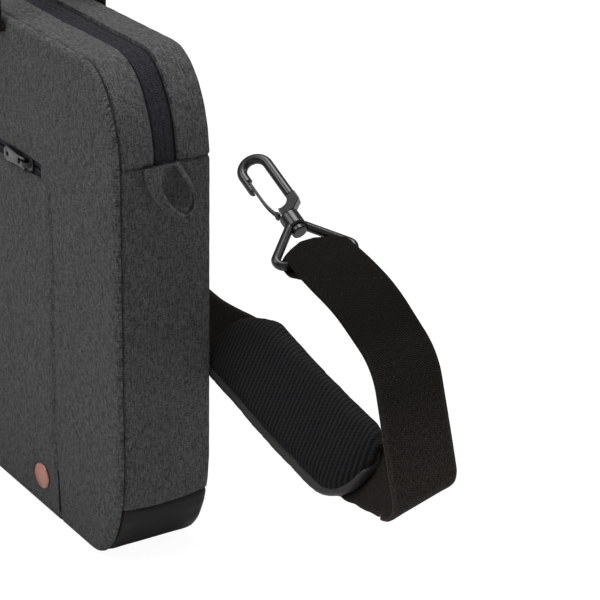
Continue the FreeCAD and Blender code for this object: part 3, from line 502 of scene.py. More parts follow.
def dress(piece, slot, body=None, inner=None):
    # gives a finished piece the material of its slot, an inner one if asked, and the body that it rides on
    piece.data.materials.clear()
    piece.data.materials.append(finishes[slot])
    if inner:
        piece.data.materials.append(finishes[inner])
    if body:
        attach(piece, body)
    return piece


# ---- bag shell ----
bag = {
    "corner": {"top": (0.038, 0.058), "base": (0.034, 0.066)},   # across, up
    "roll": 0.0034,          # rounding where the panels turn to the seam
    "swell": 0.0016,         # how far the padded panels stand out between their seams
    "billow": 0.0007,        # how unevenly they do so
    "frontTuck": 0.0026,     # how far the front panel's rim turns in at the seam
    "tuck": 0.0010,          # how far the back panel's rim is tucked in behind the side strip
    "tuckReach": 0.0075,
    "grid": 0.007,
    "wall": 0.0024, "thinWall": 0.0012,
    "mouthReach": 0.032,     # the cloth bends with the mouth over this height
}
backLow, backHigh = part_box("back_panel")
frontLow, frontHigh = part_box("front_panel")
halfWidth, height = backHigh.x, backHigh.z
frontY, backY = frontLow.y, backHigh.y
gussetFront, gussetBack = frontHigh.y, backLow.y
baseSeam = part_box("bottom_panel")[1].z
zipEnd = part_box("side_gusset_right")[1].z
tapeLow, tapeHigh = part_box("zip_tape_front")[0].y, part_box("zip_tape_back")[1].y
zipY = (tapeLow + tapeHigh) / 2
pocketLow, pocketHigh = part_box("pocket_panel")
slotLow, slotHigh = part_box("pocket_zip_tape")


def bagFace(name, y, inset=0.0):
    # the bag's front outline as one face: a plane whose corners are rounded to quarter ellipses
    clearAll()
    bpy.ops.mesh.primitive_plane_add(size=1, location=(0, y, height / 2), rotation=(math.pi / 2, 0, 0))
    face = bpy.context.object
    face.name = face.data.name = name
    face.scale = (2 * (halfWidth - inset), height - 2 * inset, 1)
    settle(face)
    for end, (across, up) in bag["corner"].items():
        squeeze = (across - inset) / (up - inset)
        face.scale = (1, 1, squeeze)
        settle(face)
        middle, edge = height / 2 * squeeze, halfWidth - inset - 1e-4
        side = 1 if end == "top" else -1
        edit(face, "verts", lambda x, y, z: ((z - middle) * side > 0) & (abs(x) > edge),
             bpy.ops.mesh.bevel, offset=across - inset, segments=16, affect="VERTICES")
        face.scale = (1, 1, 1 / squeeze)
        settle(face)
    return face


def outlineTable():
    # the outline from the middle of the base up to the middle of the top, with its length so far
    (topX, topZ), (lowX, lowZ) = bag["corner"]["top"], bag["corner"]["base"]
    turn = np.linspace(0, math.pi / 2, 60)
    x = np.concatenate([[0], halfWidth - lowX + lowX * np.sin(turn),
                        halfWidth - topX + topX * np.cos(turn), [0]])
    z = np.concatenate([[0], lowZ - lowZ * np.cos(turn), height - topZ + topZ * np.sin(turn), [height]])
    return x, z, np.concatenate([[0], np.cumsum(np.hypot(np.diff(x), np.diff(z)))])


outlineX, outlineZ, outlineS = outlineTable()


def nearOutline(at):
    # length along the outline for each point and its gap to it, by its nearest stretch
    best = np.full(len(at), 9.0)
    length = np.zeros(len(at))
    px, pz = abs(at[:, 0]), at[:, 2]
    for k in range(len(outlineX) - 1):
        dx, dz = outlineX[k + 1] - outlineX[k], outlineZ[k + 1] - outlineZ[k]
        run = dx * dx + dz * dz
        share = unit(((px - outlineX[k]) * dx + (pz - outlineZ[k]) * dz) / run)
        gap = np.hypot(px - outlineX[k] - share * dx, pz - outlineZ[k] - share * dz)
        closer = gap < best
        best[closer] = gap[closer]
        length[closer] = (outlineS[k] + share * math.sqrt(run))[closer]
    return length, best


def outlineOut(length, side):
    # the way out of the outline, square to it, at a length along it
    ahead, behind = (np.stack([np.interp(length + off, outlineS, edge) for edge in (outlineX, outlineZ)], 1)
                     for off in (0.001, -0.001))
    step = ahead - behind
    step /= np.linalg.norm(step, axis=1)[:, None]
    return np.stack([step[:, 1] * side, np.zeros(len(step)), -step[:, 0]], 1)


def inwardness(at):
    # distance of each point in the front outline from its edge, roughly
    side = halfWidth - abs(at[:, 0])
    return np.minimum(np.minimum(side, height - at[:, 2]), at[:, 2])


def steps(low, high, size):
    return np.linspace(low, high, max(2, round((high - low) / size)) + 1)[1:-1]


def around(middle, gaps):
    return [middle - gap for gap in gaps[::-1]] + [middle] + [middle + gap for gap in gaps]


def tuckIn(panel, amount):
    # pulls a panel's points in from the outline, by an amount told from their places and gaps to it
    at = points(panel)
    length, gap = nearOutline(at)
    movePoints(panel, at - outlineOut(length, np.sign(at[:, 0])) * amount(at, gap)[:, None])


def sewnPanel(name, side):
    # a padded panel whose rim rolls back to the seam
    outer, inner = (frontY, gussetFront) if side < 0 else (backY, gussetBack)
    panel = bagFace(name, inner)
    edit(panel, "faces", lambda x, y, z: z > 0, bpy.ops.mesh.extrude_region_move,
         TRANSFORM_OT_translate={"value": (0, outer - inner, 0)})
    edit(panel, "edges", lambda x, y, z: abs(y - outer) < tiny,
         bpy.ops.mesh.bevel, offset=bag["roll"], segments=5, affect="EDGES")
    cutAcross(panel, 0, steps(-halfWidth, halfWidth, bag["grid"]))
    cutAcross(panel, 2, steps(0, height, bag["grid"]))
    return panel


def puff(panel, side, seed):
    # lets the padding stand out between the seams, unevenly
    at = points(panel)
    inside = unit(inwardness(at) / 0.05)
    lift = bag["swell"] * np.sin(inside * math.pi / 2)
    lift += bag["billow"] * inside * ripple(at[:, 0] / 0.16, at[:, 2] / 0.16, seed)
    face = abs(at[:, 1]) > abs(frontY) - tiny
    pucker = 0.00012 * np.sin(nearOutline(at)[0] * 2 * math.pi / 0.013) * dip(inwardness(at) - 0.006, 0.006)
    at[:, 1] += side * (lift + pucker) * face
    movePoints(panel, at)


def turnOut(piece):
    # joins stray doubles and turns every face away from the middle of the bag
    editWhole(piece, bpy.ops.mesh.remove_doubles, threshold=weldGap)
    editWhole(piece, bpy.ops.mesh.normals_make_consistent, inside=False)
    middle = Vector((0, 0, height / 2))
    if sum(face.area * face.normal.dot(face.center - middle) for face in piece.data.polygons) < 0:
        editWhole(piece, bpy.ops.mesh.flip_normals)


def giveWall(piece, thickness=bag["wall"]):
    modify(piece, "SOLIDIFY", thickness=thickness, offset=-1, use_even_offset=True, material_offset=1)


def crossesMouth(piece):
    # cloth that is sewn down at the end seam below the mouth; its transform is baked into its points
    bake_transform(piece)


backPanel = sewnPanel("backPanel", 1)
puff(backPanel, 1, 4)
tuckIn(backPanel, lambda at, gap:
       bag["tuck"] * unit(1 - gap / bag["tuckReach"]) * (at[:, 1] < backY - tiny))
turnOut(backPanel)
at = points(backPanel)
layWeave(backPanel, at[:, 0], at[:, 2])
dress(backPanel, "grey_fabric", inner="lining")
giveWall(backPanel)
smooth(backPanel)
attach(backPanel, "bag")
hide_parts("back_panel")

pocket = {
    "seam": 0.0011,          # depth of the crease down each side
    "proud": 0.0006,         # the pocket stands out this far between its seams
    "lip": 0.0009,           # and its zip's edges turn in this far
    "lipCut": 0.0015,
    "row": 0.0022,           # from the zip's slot to the row of stitches
}
frontPanel = sewnPanel("frontPanel", -1)
tuckIn(frontPanel, lambda at, gap: bag["frontTuck"] * (at[:, 1] > gussetFront - tiny))
seamX = pocketHigh.x
for x in (-seamX, seamX):
    cutAcross(frontPanel, 0, around(x, (0.0012, 0.0024)))
cutAcross(frontPanel, 0, [slotLow.x, slotHigh.x])
cutAcross(frontPanel, 2, [slotLow.z, slotHigh.z, slotHigh.z + pocket["lipCut"], slotLow.z - pocket["lipCut"]])
puff(frontPanel, -1, 11)
at = points(frontPanel)
x, y, z = at.T
onFront = y < gussetFront - 0.002
inPocket = onFront & (z < slotLow.z - 0.0005)
seam = pocket["seam"] * dip(abs(x) - seamX, 0.0011) * inPocket
low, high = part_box("badge")
fromBadge = np.hypot(x - (low.x + high.x) / 2, z - (low.z + high.z) / 2)
pressed = np.exp(-(fromBadge / ((high.x - low.x) * 0.75)) ** 6)
y += (frontY + 0.0002 - y) * pressed * onFront
proud = pocket["proud"] * (abs(x) < seamX - pocket["lipCut"]) * inPocket
proud *= unit(z / 0.02) * (1 - pressed)
lip = pocket["lip"] * dip(np.minimum(abs(z - slotLow.z), abs(z - slotHigh.z)), 0.0008) * onFront
lip = lip * (abs(x) < slotHigh.x + 0.001)
y += seam - proud + lip
movePoints(frontPanel, at)
turnOut(frontPanel)
edit(frontPanel, "faces", lambda x, y, z: (abs(x) < slotHigh.x) & (z > slotLow.z) & (z < slotHigh.z),
     bpy.ops.mesh.delete, type="FACE")
at = points(frontPanel)
layWeave(frontPanel, at[:, 0], at[:, 2])
pocketFlap = splitOff(frontPanel, "pocketFlap", lambda x, y, z:
                      (abs(x) < seamX) & (y < gussetFront - 0.003) & (z > pocketLow.z) & (z < slotLow.z))
for panel in (frontPanel, pocketFlap):
    dress(panel, "grey_fabric", inner="lining")
    giveWall(panel, bag["wall"] if panel == frontPanel else bag["thinWall"])
    smooth(panel)
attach(pocketFlap, "bag")
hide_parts("pocket_panel")
crossesMouth(frontPanel)
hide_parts("front_panel", "upper_front_panel")
print("panels sewn")

# the strip round the sides, top and base, cut from one ring
strip = {
    "rows": (0.0005, 0.0011, 0.0019, 0.0032, 0.0055),     # cuts this far inside both panel seams
    "lip": (0.0010, 0.0004),                              # outside the zip
    "zipRows": (0.0003, 0.0009, 0.0018, 0.0026, 0.0034, 0.0050),     # on both sides of its middle
    "crossRows": (0.0005, 0.0012, 0.0025),                # on both sides of the seams across the strip
    "crease": 0.0033, "backShare": 0.22,     # depth of the front seam, and the back seam's share of it
    "zipCrease": 0.0017, "baseCrease": 0.0011, "pucker": 0.0003,
    "creaseWidth": 0.0010, "puckerStep": 0.014,
    "sag": 0.0013,           # how far the cloth falls in along its middle
    "backBulge": 0.0010, "baseBulge": 0.0012, "wave": 0.0008,
    "sink": 0.0009, "teeth": 0.0007,
    "bow": 0.0020,           # how far the base's seam dips in the middle
}
ring = bagFace("ring", gussetFront)
pick(ring, "faces", lambda x, y, z: z > 0)
bpy.ops.mesh.delete(type="ONLY_FACE")
bpy.ops.mesh.select_all(action="SELECT")
bpy.ops.mesh.extrude_edges_move(TRANSFORM_OT_translate={"value": (0, gussetBack - gussetFront, 0)})
leaveEdit()
cutAcross(ring, 1, [gussetFront + gap for gap in strip["rows"]] + [gussetBack - gap for gap in strip["rows"]])
cutAcross(ring, 1, steps(gussetFront + strip["rows"][-1], tapeLow - strip["lip"][0], 0.004))
cutAcross(ring, 1, steps(tapeHigh + strip["lip"][0], gussetBack - strip["rows"][-1], 0.004))
cutAcross(ring, 1, [tapeLow - gap for gap in strip["lip"]] + [tapeLow, tapeHigh]
          + [tapeHigh + gap for gap in strip["lip"][::-1]])
cutAcross(ring, 1, around(zipY, strip["zipRows"]))
cutAcross(ring, 0, steps(-halfWidth, halfWidth, bag["grid"]))
cutAcross(ring, 2, steps(0, height, 0.005))
cutAcross(ring, 2, around(zipEnd, strip["crossRows"]))
cutAcross(ring, 2, around(baseSeam, strip["crossRows"]))
turnOut(ring)
at, out = points(ring), outward(ring)
out[:, 1] = 0
y, z, s = at[:, 1], at[:, 2], nearOutline(at)[0]
edge = np.minimum(y - gussetFront, gussetBack - y)
offFloor = ease(z / 0.010)
onCloth = unit((z - baseSeam + 0.004) / 0.03)
underZip = unit((zipEnd - z) / 0.03)
# the creases at the seams
creaseWidth = strip["creaseWidth"]
depth = strip["crease"] * dip(edge, creaseWidth) * np.where(y > 0, strip["backShare"], 1)
depth += strip["zipCrease"] * dip(z - zipEnd, creaseWidth) * (y > gussetFront + 0.002)
depth += strip["baseCrease"] * dip(z - baseSeam, creaseWidth)
pucker = np.sin(s * 2 * math.pi / strip["puckerStep"] + 2 * np.sin(s * 40)) * dip(edge - 0.004, 0.004)
depth -= strip["pucker"] * pucker
# the hang of the cloth between them
depth += strip["sag"] * unit(edge / 0.026) ** 0.7 * underZip * onCloth
depth -= strip["backBulge"] * ease((y - 0.004) / 0.02) * offFloor
depth -= strip["baseBulge"] * unit(edge / 0.02) * (1 - onCloth) * offFloor
wave = strip["wave"] * ripple(s / 0.15, y / 0.09, 21) * unit(edge / 0.012)
wave *= (0.25 + 0.75 * onCloth) * offFloor
depth -= wave
# the zip lies lower, with its row of teeth proud and a lip of cloth on each side
inZip = (y > tapeLow - tiny) & (y < tapeHigh + tiny) & (z > zipEnd)
fromZip = abs(y - zipY)
tape = strip["sink"] + 0.0006 * dip(fromZip - (tapeHigh - zipY), 0.0007) + 0.0003 * dip(fromZip, 0.0004)
tape -= strip["teeth"] * dip(fromZip - 0.0017, 0.0010)
lipRise = -0.0004 * dip(fromZip - (tapeHigh - zipY) - 0.0012, 0.0010) * (z > zipEnd)
depth = np.where(inZip, tape - wave, depth + lipRise)
bow = -strip["bow"] * (1 - (y / gussetBack) ** 2) * dip(z - baseSeam, 0.016) * (abs(at[:, 0]) > 0.05)
at -= out * depth[:, None]
at[:, 2] += bow
# the strip reaches round the back panel's rim
reach = gussetBack - tapeHigh - 0.003
at[:, 1] += (backY - 0.0005 - gussetBack) * unit((y - tapeHigh - 0.003) / reach)
layWeave(ring, y, s)
movePoints(ring, at)

zipStrip = splitOff(ring, "zipStrip", lambda x, y, z: (z > zipEnd) & (y > tapeLow) & (y < tapeHigh))
topFront = splitOff(ring, "zipGussetFront", lambda x, y, z: (z > zipEnd) & (y < zipY))
topBack = splitOff(ring, "zipGussetBack", lambda x, y, z: (z > zipEnd) & (y > zipY))
coatedBase = splitOff(ring, "coatedBase", lambda x, y, z:
                      z < baseSeam - (strip["bow"] + 0.0001) * (1 - (y / gussetBack) ** 2))
sideRight = splitOff(ring, "sideGussetRight", lambda x, y, z: x > 0)
ring.name = ring.data.name = "sideGussetLeft"
tapeFront = splitOff(zipStrip, "zipTapeFront", lambda x, y, z: y < zipY)
zipStrip.name = zipStrip.data.name = "zipTapeBack"

for piece, node in ((topFront, "zip_gusset_front"), (topBack, "zip_gusset_back"),
                    (tapeFront, "zip_tape_front"), (zipStrip, "zip_tape_back"), (coatedBase, "bottom_panel"),
                    (sideRight, "side_gusset_right"), (ring, "side_gusset_left")):
    isTape = slotOf[node] == "zip_tape"
    if isTape:
        # the tape's pattern counts from the zip's middle
        mesh = piece.data
        pairs = np.empty(len(mesh.loops) * 2)
        mesh.uv_layers["weave"].data.foreach_get("uv", pairs)
        pairs[0::2] -= zipY
        mesh.uv_layers["weave"].data.foreach_set("uv", pairs)
    dress(piece, slotOf[node], inner="zip_tape" if isTape else "lining")
    giveWall(piece, bag["thinWall"] if isTape else bag["wall"])
    smooth(piece)
    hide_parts(node)
    if node.endswith("front"):
        crossesMouth(piece)
    else:
        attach(piece, "bag")
print("gusset and zip laid")


# ---- webbing ----
def roundRuns(corners, radii, spacing=0.0012):
    # straight runs in a plane with tangent arcs at their corners, as closely spaced points
    corners = [np.array(c, float) for c in corners]
    path, last = [], corners[0]
    for before, corner, after, radius in zip(corners, corners[1:], corners[2:], radii[1:]):
        a, b = before - corner, after - corner
        a, b = a / np.linalg.norm(a), b / np.linalg.norm(b)
        half = math.acos(float(np.clip(a @ b, -1, 1))) / 2
        start = corner + a * radius / math.tan(half)
        centre = corner + (a + b) / np.linalg.norm(a + b) * radius / math.sin(half)
        straight = max(1, int(np.linalg.norm(start - last) / spacing / 3))
        path += [last + (start - last) * k / straight for k in range(straight)]
        first, turn = start - centre, math.pi - 2 * half
        side = np.sign(a[1] * b[0] - a[0] * b[1])
        count = max(4, int(radius * turn / spacing))
        for k in range(count):
            angle = side * turn * k / count
            c, t = math.cos(angle), math.sin(angle)
            path.append(centre + np.array([first[0] * c - first[1] * t, first[0] * t + first[1] * c]))
        last = path[-1]
    return np.array(path + [corners[-1]])


def lengths(path):
    return np.concatenate([[0], np.cumsum(np.linalg.norm(np.diff(path, axis=0), axis=1))])


def evenly(path, spacing, *others):
    # evenly spaced points on the path, with other values carried along
    length = lengths(path)
    keep = np.concatenate([[True], np.diff(length) > 1e-7])
    path, length, others = path[keep], length[keep], [np.asarray(o)[keep] for o in others]
    goal = np.linspace(0, length[-1], max(2, round(length[-1] / spacing)) + 1)

    def carried(values):
        return np.stack([np.interp(goal, length, values[:, k]) for k in range(values.shape[1])], 1)
    return (carried(path), *[carried(o) for o in others])


def softened(values, rounds):
    for _ in range(rounds):
        values[1:-1] = values[1:-1] * 0.5 + (values[:-2] + values[2:]) * 0.25
    return values


def band(name, path, across, width, thick):
    # woven band along a path: a flat section with slightly fuller edges, closed at both ends
    path, across = np.asarray(path, float), np.asarray(across, float)
    across = across / np.linalg.norm(across, axis=1)[:, None]
    ahead = np.gradient(path, axis=0)
    face = np.cross(ahead, across)
    face = face / np.linalg.norm(face, axis=1)[:, None]
    width = np.broadcast_to(width, len(path))
    stations = [-1, -0.97, -0.88, -0.6, -0.2, 0.2, 0.6, 0.88, 0.97, 1]
    lift = [0.35, 0.9, 1.15, 1, 1, 1, 1, 1.15, 0.9, 0.35]
    section = [(s, h) for s, h in zip(stations, lift)] + [(s, -h) for s, h in zip(stations[::-1], lift[::-1])]
    verts, u = [], []
    for s, h in section:
        verts.append(path + across * (s * width / 2)[:, None] + face * (h * thick / 2))
        u.append(s * width / 2)
    verts, u = np.stack(verts, 1), np.stack(u, 1)
    rows, ring = verts.shape[:2]
    faces = [(r * ring + k, r * ring + (k + 1) % ring, (r + 1) * ring + (k + 1) % ring, (r + 1) * ring + k)
             for r in range(rows - 1) for k in range(ring)]
    faces += [tuple(range(ring))[::-1], tuple((rows - 1) * ring + k for k in range(ring))]
    mesh = bpy.data.meshes.new(name)
    mesh.from_pydata(verts.reshape(-1, 3).tolist(), [], faces)
    piece = addPiece(name, mesh)
    editWhole(piece, bpy.ops.mesh.normals_make_consistent, inside=False)
    layWeave(piece, u.ravel(), np.repeat(lengths(path), ring))
    smooth(piece, 60)
    return piece


strap = {
    "width": 0.038, "thick": 0.0021,
    "wrap": 0.0037,                     # radius of the webbing's middle round a hook's bar
    "fall": math.radians(15),
    "tail": (0.036, 0.013),             # the end turned back at the hook, and where it opens round the bar
    "first": 0.041, "shoulder": (0.0740, -0.026), "turn": (0.0962, -0.0933), "end": (0.0832, -0.0963),
    "bends": (0.090, 0.032, 0.010),
    # share of the way from the fold to the pad; how far up and back the webbing is there, and how far turned
    "backLimb": ((0.14, 0.0008, 0.0056, 0.12), (0.32, 0.0006, 0.0085, 0.40), (0.50, -0.0006, 0.0092, 0.66),
                 (0.70, -0.0016, 0.0070, 0.88)),
    "padEnd": (0.343, 0.043, 0.1103),
    "layer": 0.0025, "returnLength": 0.230, "opening": 0.016,
    "lap": 0.016,                       # the two lengths of webbing meet this far back, under the pad
    "curl": 0.0032,                     # how far the back limb's low edge curls up beside the pad
    "roll": math.radians(10),           # the far edge lies higher past the bar
    "skew": math.radians(14.5),         # and at the fold
    "slack": 0.0085,                    # how far the fold over the hook's bar stands off the bar
    "sag": 0.006,
    # distance from the pad's near end, and how far the strap hangs below its straight line there
    "line": ((-0.60, 0), (-0.345, 0), (-0.29, 0.0064), (-0.22, 0.0118), (-0.20, 0.0122), (-0.183, 0.0112),
             (-0.165, 0.0076), (-0.150, 0.0040), (-0.138, 0.0018), (-0.122, 0.0012), (-0.107, 0.0025),
             (-0.090, 0.0039), (-0.070, 0.0050), (-0.030, 0.0057), (0, 0.006), (0.05, 0.006)),
}
rightBar = np.array(joints["right_hook_swing"]["pos_m"])
leftBar = np.array(joints["left_hook_swing"]["pos_m"])
across = np.array(joints["left_hook_swing"]["axis"])
padEnd = np.array(strap["padEnd"])
strapLength = np.linalg.norm(padEnd - leftBar)
run = (padEnd - leftBar) / strapLength
facing = np.cross(run, across)            # out of the strap, towards the pad's upper face


def settled(at):
    # the strap's own weight draws it down between the adjuster and the pad, and the pad's near end rides up
    s = (at - leftBar) @ run - strapLength
    knots = np.array(strap["line"])
    table = np.arange(knots[0, 0], knots[-1, 0], 0.001)
    drop = np.interp(s, table, softened(np.interp(table, knots[:, 0], knots[:, 1]), 40))
    return at - drop[:, None] * [0, 0.15, 1]


def inStrap(piece):
    # places along the strap, across it and out of it, counted from the pad's near end
    at = points(piece) - padEnd
    return at @ run, at @ across, at @ facing


def rightStrap():
    wrap, fall = strap["wrap"], strap["fall"]
    tail, under = strap["tail"], wrap - 0.0023

    def at(a, b):
        return (a * math.cos(fall) + b * math.sin(fall), -a * math.sin(fall) + b * math.cos(fall))

    corners = [at(tail[0], under), at(tail[1], under), at(wrap, -wrap), at(-wrap, -wrap), at(-wrap, wrap),
               at(strap["first"], wrap), strap["shoulder"], strap["turn"], strap["end"]]
    flat = roundRuns(corners, [0, wrap, wrap, wrap, wrap, *strap["bends"], 0])
    path = np.stack([flat[:, 0], np.zeros(len(flat)), flat[:, 1]], 1) + rightBar
    length = lengths(flat)
    pastBar = length - length[np.argmin(flat[:, 0])]
    roll = strap["roll"] * unit(pastBar / 0.02) * dip(unit(pastBar - 0.02), 0.040)
    lean = roll + strap["skew"] * ease((pastBar - pastBar[-1] + 0.075) / 0.065)
    sideways = np.stack([lean * 0, np.cos(lean), np.sin(lean)], 1)
    end = path[-1]
    joint = padEnd - facing * strap["layer"] - [0, 0, strap["sag"]]
    level = np.array([0, math.cos(strap["skew"]), math.sin(strap["skew"])])
    for share, rise, back, turn in strap["backLimb"]:
        path = np.vstack([path, end + (joint - end) * share + [0, back, rise]])
        sideways = np.vstack([sideways, level * (1 - turn) + across * turn])
    for beyond in (0.008, 0, -0.008, -strap["lap"]):
        path = np.vstack([path, joint + run * beyond])
        sideways = np.vstack([sideways, across])
    path, sideways = evenly(path, 0.0016, sideways)
    turnAt = np.argmin(path[:, 2] + (path[:, 0] < end[0]) * 9)
    path[turnAt + 4:] = softened(path[turnAt + 4:], 160)
    sideways = softened(sideways, 60)
    piece = band("strapRight", path, sideways, strap["width"], strap["thick"])
    # a loose fold over the bar, held down at its near edge
    at = points(piece)
    off = at - rightBar
    way = np.array([math.cos(fall), 0, -math.sin(fall)])
    edge = off[:, 1] + strap["width"] / 2
    stand = strap["slack"] * unit(edge / 0.013) * (1 - 0.65 * ease((edge - 0.024) / 0.014))
    stand *= ease((0.016 - off @ way) / 0.018) * (off[:, 2] > -0.02)
    # the back limb's low edge curls up beside the pad
    along, aside, _ = inStrap(piece)
    curl = strap["curl"] * unit(-aside / (strap["width"] / 2)) * ease((along + 0.012) / 0.014)
    curl *= 1 - ease((along - 0.018) / 0.022)
    movePoints(piece, at - stand[:, None] * way + curl[:, None] * [0, 0, 1])
    return piece


def leftStrap():
    wrap, layer = strap["wrap"], strap["layer"]
    opening = strap["opening"]
    corners = [(strap["returnLength"], layer), (opening, layer), (wrap, wrap), (-wrap, wrap), (-wrap, -wrap),
               (wrap, -wrap), (opening, -layer), (strapLength - strap["lap"], -layer)]
    flat = roundRuns(corners, [0, opening, wrap, wrap, wrap, wrap, opening, 0])
    path = leftBar + flat[:, :1] * run + flat[:, 1:] * facing
    path = settled(evenly(path, 0.0012)[0])
    path, sideways = evenly(path, 0.0022, np.tile(across, (len(path), 1)))
    return band("strapLeft", path, sideways, strap["width"], strap["thick"])


for piece, node in ((rightStrap(), "strap_webbing_right"), (leftStrap(), "strap_webbing_left")):
    dress(piece, slotOf[node], bodyOf[node])
    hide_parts(node)
print("strap laid")


# ---- shoulder pad ----
cushion = {"pressure": 4.0, "frames": 20, "stretch": 30, "bend": 2}
pad = {
    "middle": 0.08,                     # from the near end back to the middle
    "length": 0.96, "longer": 1.045,    # against the CAD's length, and the padding against its binding
    "narrower": (0.935, 0.965),         # against the CAD's width, at the near and the far end
    "skew": 0.16,                       # how far the ends run askew
    "cornerCut": 0.26,                  # share of the width missing at the far top corner
    "half": (0.0218, 0.0290),           # half widths below and above the strap's middle line
    "dome": 0.0022, "ribHeight": 0.00042, "ribLean": 0.41,
    "stations": (-0.145, -0.015, 45),   # where the padding's width is measured, and how often
}


def swellUp(piece, cap):
    # blows the padding up a little inside its cover
    start = points(piece)
    cloth = piece.modifiers.new("Cloth", "CLOTH")
    cloth.settings.use_pressure = True
    cloth.settings.uniform_pressure_force = cushion["pressure"]
    cloth.settings.effector_weights.gravity = 0
    cloth.settings.tension_stiffness = cloth.settings.compression_stiffness = cushion["stretch"]
    cloth.settings.bending_stiffness = cushion["bend"]
    cloth.point_cache.frame_start = 1
    cloth.point_cache.frame_end = cushion["frames"]
    scene = bpy.context.scene
    for step in range(1, cushion["frames"] + 1):
        scene.frame_set(step)
    activate(piece)
    bpy.ops.object.modifier_apply(modifier=cloth.name)
    scene.frame_set(1)
    moved = points(piece) - start
    far = np.linalg.norm(moved, axis=1, keepdims=True)
    movePoints(piece, start + moved * np.minimum(1, cap / np.maximum(far, 1e-9)))


def padded(node, voxel, cap, levels=1):
    piece = copyOf(node)
    modify(piece, "REMESH", mode="VOXEL", voxel_size=voxel)
    modify(piece, "SMOOTH", factor=0.5, iterations=4)
    swellUp(piece, cap)
    modify(piece, "SUBSURF", levels=levels, render_levels=levels)
    dress(piece, slotOf[node])
    smooth(piece, 0)
    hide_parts(node)
    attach(piece, bodyOf[node])
    return piece


def layOnStrap(piece, along, aside, rise):
    # both ends stand askew to the strap, and the pad is a little narrower at the near end
    near, far = pad["narrower"]
    width = near + (far - near) * unit(-along / (2 * pad["middle"]))
    place = -pad["middle"] + (along + pad["middle"]) * pad["length"] + pad["skew"] * aside
    farTurn, nearTurn = ease((-0.122 - along) / 0.026), ease((along + 0.012) / 0.012)
    width = width * np.where(aside > 0, 1 - pad["cornerCut"] * farTurn, 1 - 0.06 * farTurn - 0.08 * nearTurn)
    at = place[:, None] * run + (aside * width)[:, None] * across
    at += rise[:, None] * facing
    movePoints(piece, settled(at + padEnd))
    layWeave(piece, along + pad["ribLean"] * aside, aside)


def stretchTo(values, cover):
    return np.interp(values, [values.min(), values.max()], [cover.min(), cover.max()])


def easeOut(along, aside, side, half):
    # how much each point has to move out for the padding to be as wide as its half on that side
    stations = np.linspace(*pad["stations"])
    widths = np.array([(side * aside[abs(along - station) < 0.0024]).max() for station in stations])
    return np.interp(along, stations, softened(half / widths, 1))


shoulderPad = padded("shoulder_pad", 0.0026, 0.0022, levels=2)
along, aside, rise = inStrap(shoulderPad)
cover = inStrap(frame["nodes"]["shoulder_pad"])
upper = unit(outward(shoulderPad) @ facing)
# the stuffed pad draws in at its edges, so it is eased out again to meet its binding
along = (stretchTo(along, cover[0]) + pad["middle"]) * pad["longer"] - pad["middle"]
lowEase, topEase = (easeOut(along, aside, side, half) for side, half in zip((-1, 1), pad["half"]))
aside = aside * np.where(aside > 0, topEase, lowEase)
rise = stretchTo(rise, cover[2])
domed = unit(1 - (abs(aside) / pad["half"][1]) ** 5) * unit(-along / 0.012)
rise += upper * pad["dome"] * domed
ribs = (along + pad["ribLean"] * aside) * 2 * math.pi / meshCloth["rib"]
rise += upper * pad["ribHeight"] * (np.sin(ribs) + 0.5)
aside -= 0.2 * np.clip(0.009 - rise, 0, 0.009) * ease(aside / 0.02)
layOnStrap(shoulderPad, along, aside, rise)

# the binding: a broad band below, drawn in under the pad's top edge
padBinding = copyOf("pad_binding")
modify(padBinding, "REMESH", mode="VOXEL", voxel_size=0.0011)
modify(padBinding, "SMOOTH", factor=0.5, iterations=14)
along, aside, rise = inStrap(padBinding)
inner = ease(aside / 0.022)
low = unit(-aside / 0.020) * ease((-along - 0.004) / 0.02)
inward = unit((aside - aside.min() - 0.0016) / 0.0035) * low
layOnStrap(padBinding, along, aside - 0.0006 - 0.0034 * inner + 0.0030 * inward,
           rise * 1.2 + 0.0004 - 0.0066 * inner + 0.0012 * low * (rise > 0.003))
dress(padBinding, "pad_edge", "bag")
smooth(padBinding, 0)
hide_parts("pad_binding")
print("pad stuffed")

# ---- inside ----
for node in ("padded_sleeve", "divider_right", "divider_left"):
    padded(node, 0.004, 0.0012)
for node in ("seam_binding_back", "seam_binding_front", "pocket_lining"):
    piece = copyOf(node)
    modify(piece, "BEVEL", width=0.0004, segments=2, limit_method="ANGLE")
    dress(piece, slotOf[node], bodyOf[node])
    smooth(piece)
    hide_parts(node)

# ---- side loops ----
loop = {
    # one leg to the other: out from the side, along it and up; then how the band lies and how wide it is
    "path": ((0.0012, -0.0060, -0.0001), (0.0028, -0.0078, -0.0070), (0.0048, -0.0066, -0.0140),
             (0.0062, -0.0022, -0.0215), (0.0072, 0.0040, -0.0275), (0.0076, 0.0105, -0.0300),
             (0.0072, 0.0155, -0.0262), (0.0060, 0.0168, -0.0190), (0.0044, 0.0142, -0.0110),
             (0.0024, 0.0100, -0.0040), (0.0012, 0.0078, -0.0001)),
    "across": ((0.10, 1.0, 0.0), (0.15, 1.0, 0.20), (0.35, 0.85, 0.50), (0.65, 0.55, 0.50),
               (0.90, 0.20, 0.35), (1.0, -0.05, 0.35), (1.0, -0.30, 0.10), (1.0, -0.40, -0.05),
               (0.95, -0.50, 0.05), (0.85, -0.60, 0.10), (0.70, -0.70, 0.0)),
    "width": (0.0130, 0.0098, 0.0066, 0.0054, 0.0052, 0.0054, 0.0056, 0.0058, 0.0062, 0.0068, 0.0074),
    "thick": 0.0016,
}
path, sideways, width = evenly(np.array(loop["path"]), 0.0009, np.array(loop["across"]),
                               np.array(loop["width"])[:, None])
path, sideways, width = softened(path, 18), softened(sideways, 22), softened(width, 12)
sideLoop = band("sideLoopRight", path, sideways, width[:, 0], loop["thick"])
sideLoop.data.transform(Matrix.Translation(Vector(joints["side_loop_right_lift"]["pos_m"])))
dress(sideLoop, "grey_fabric", "loop_right")
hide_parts("side_loop_right")


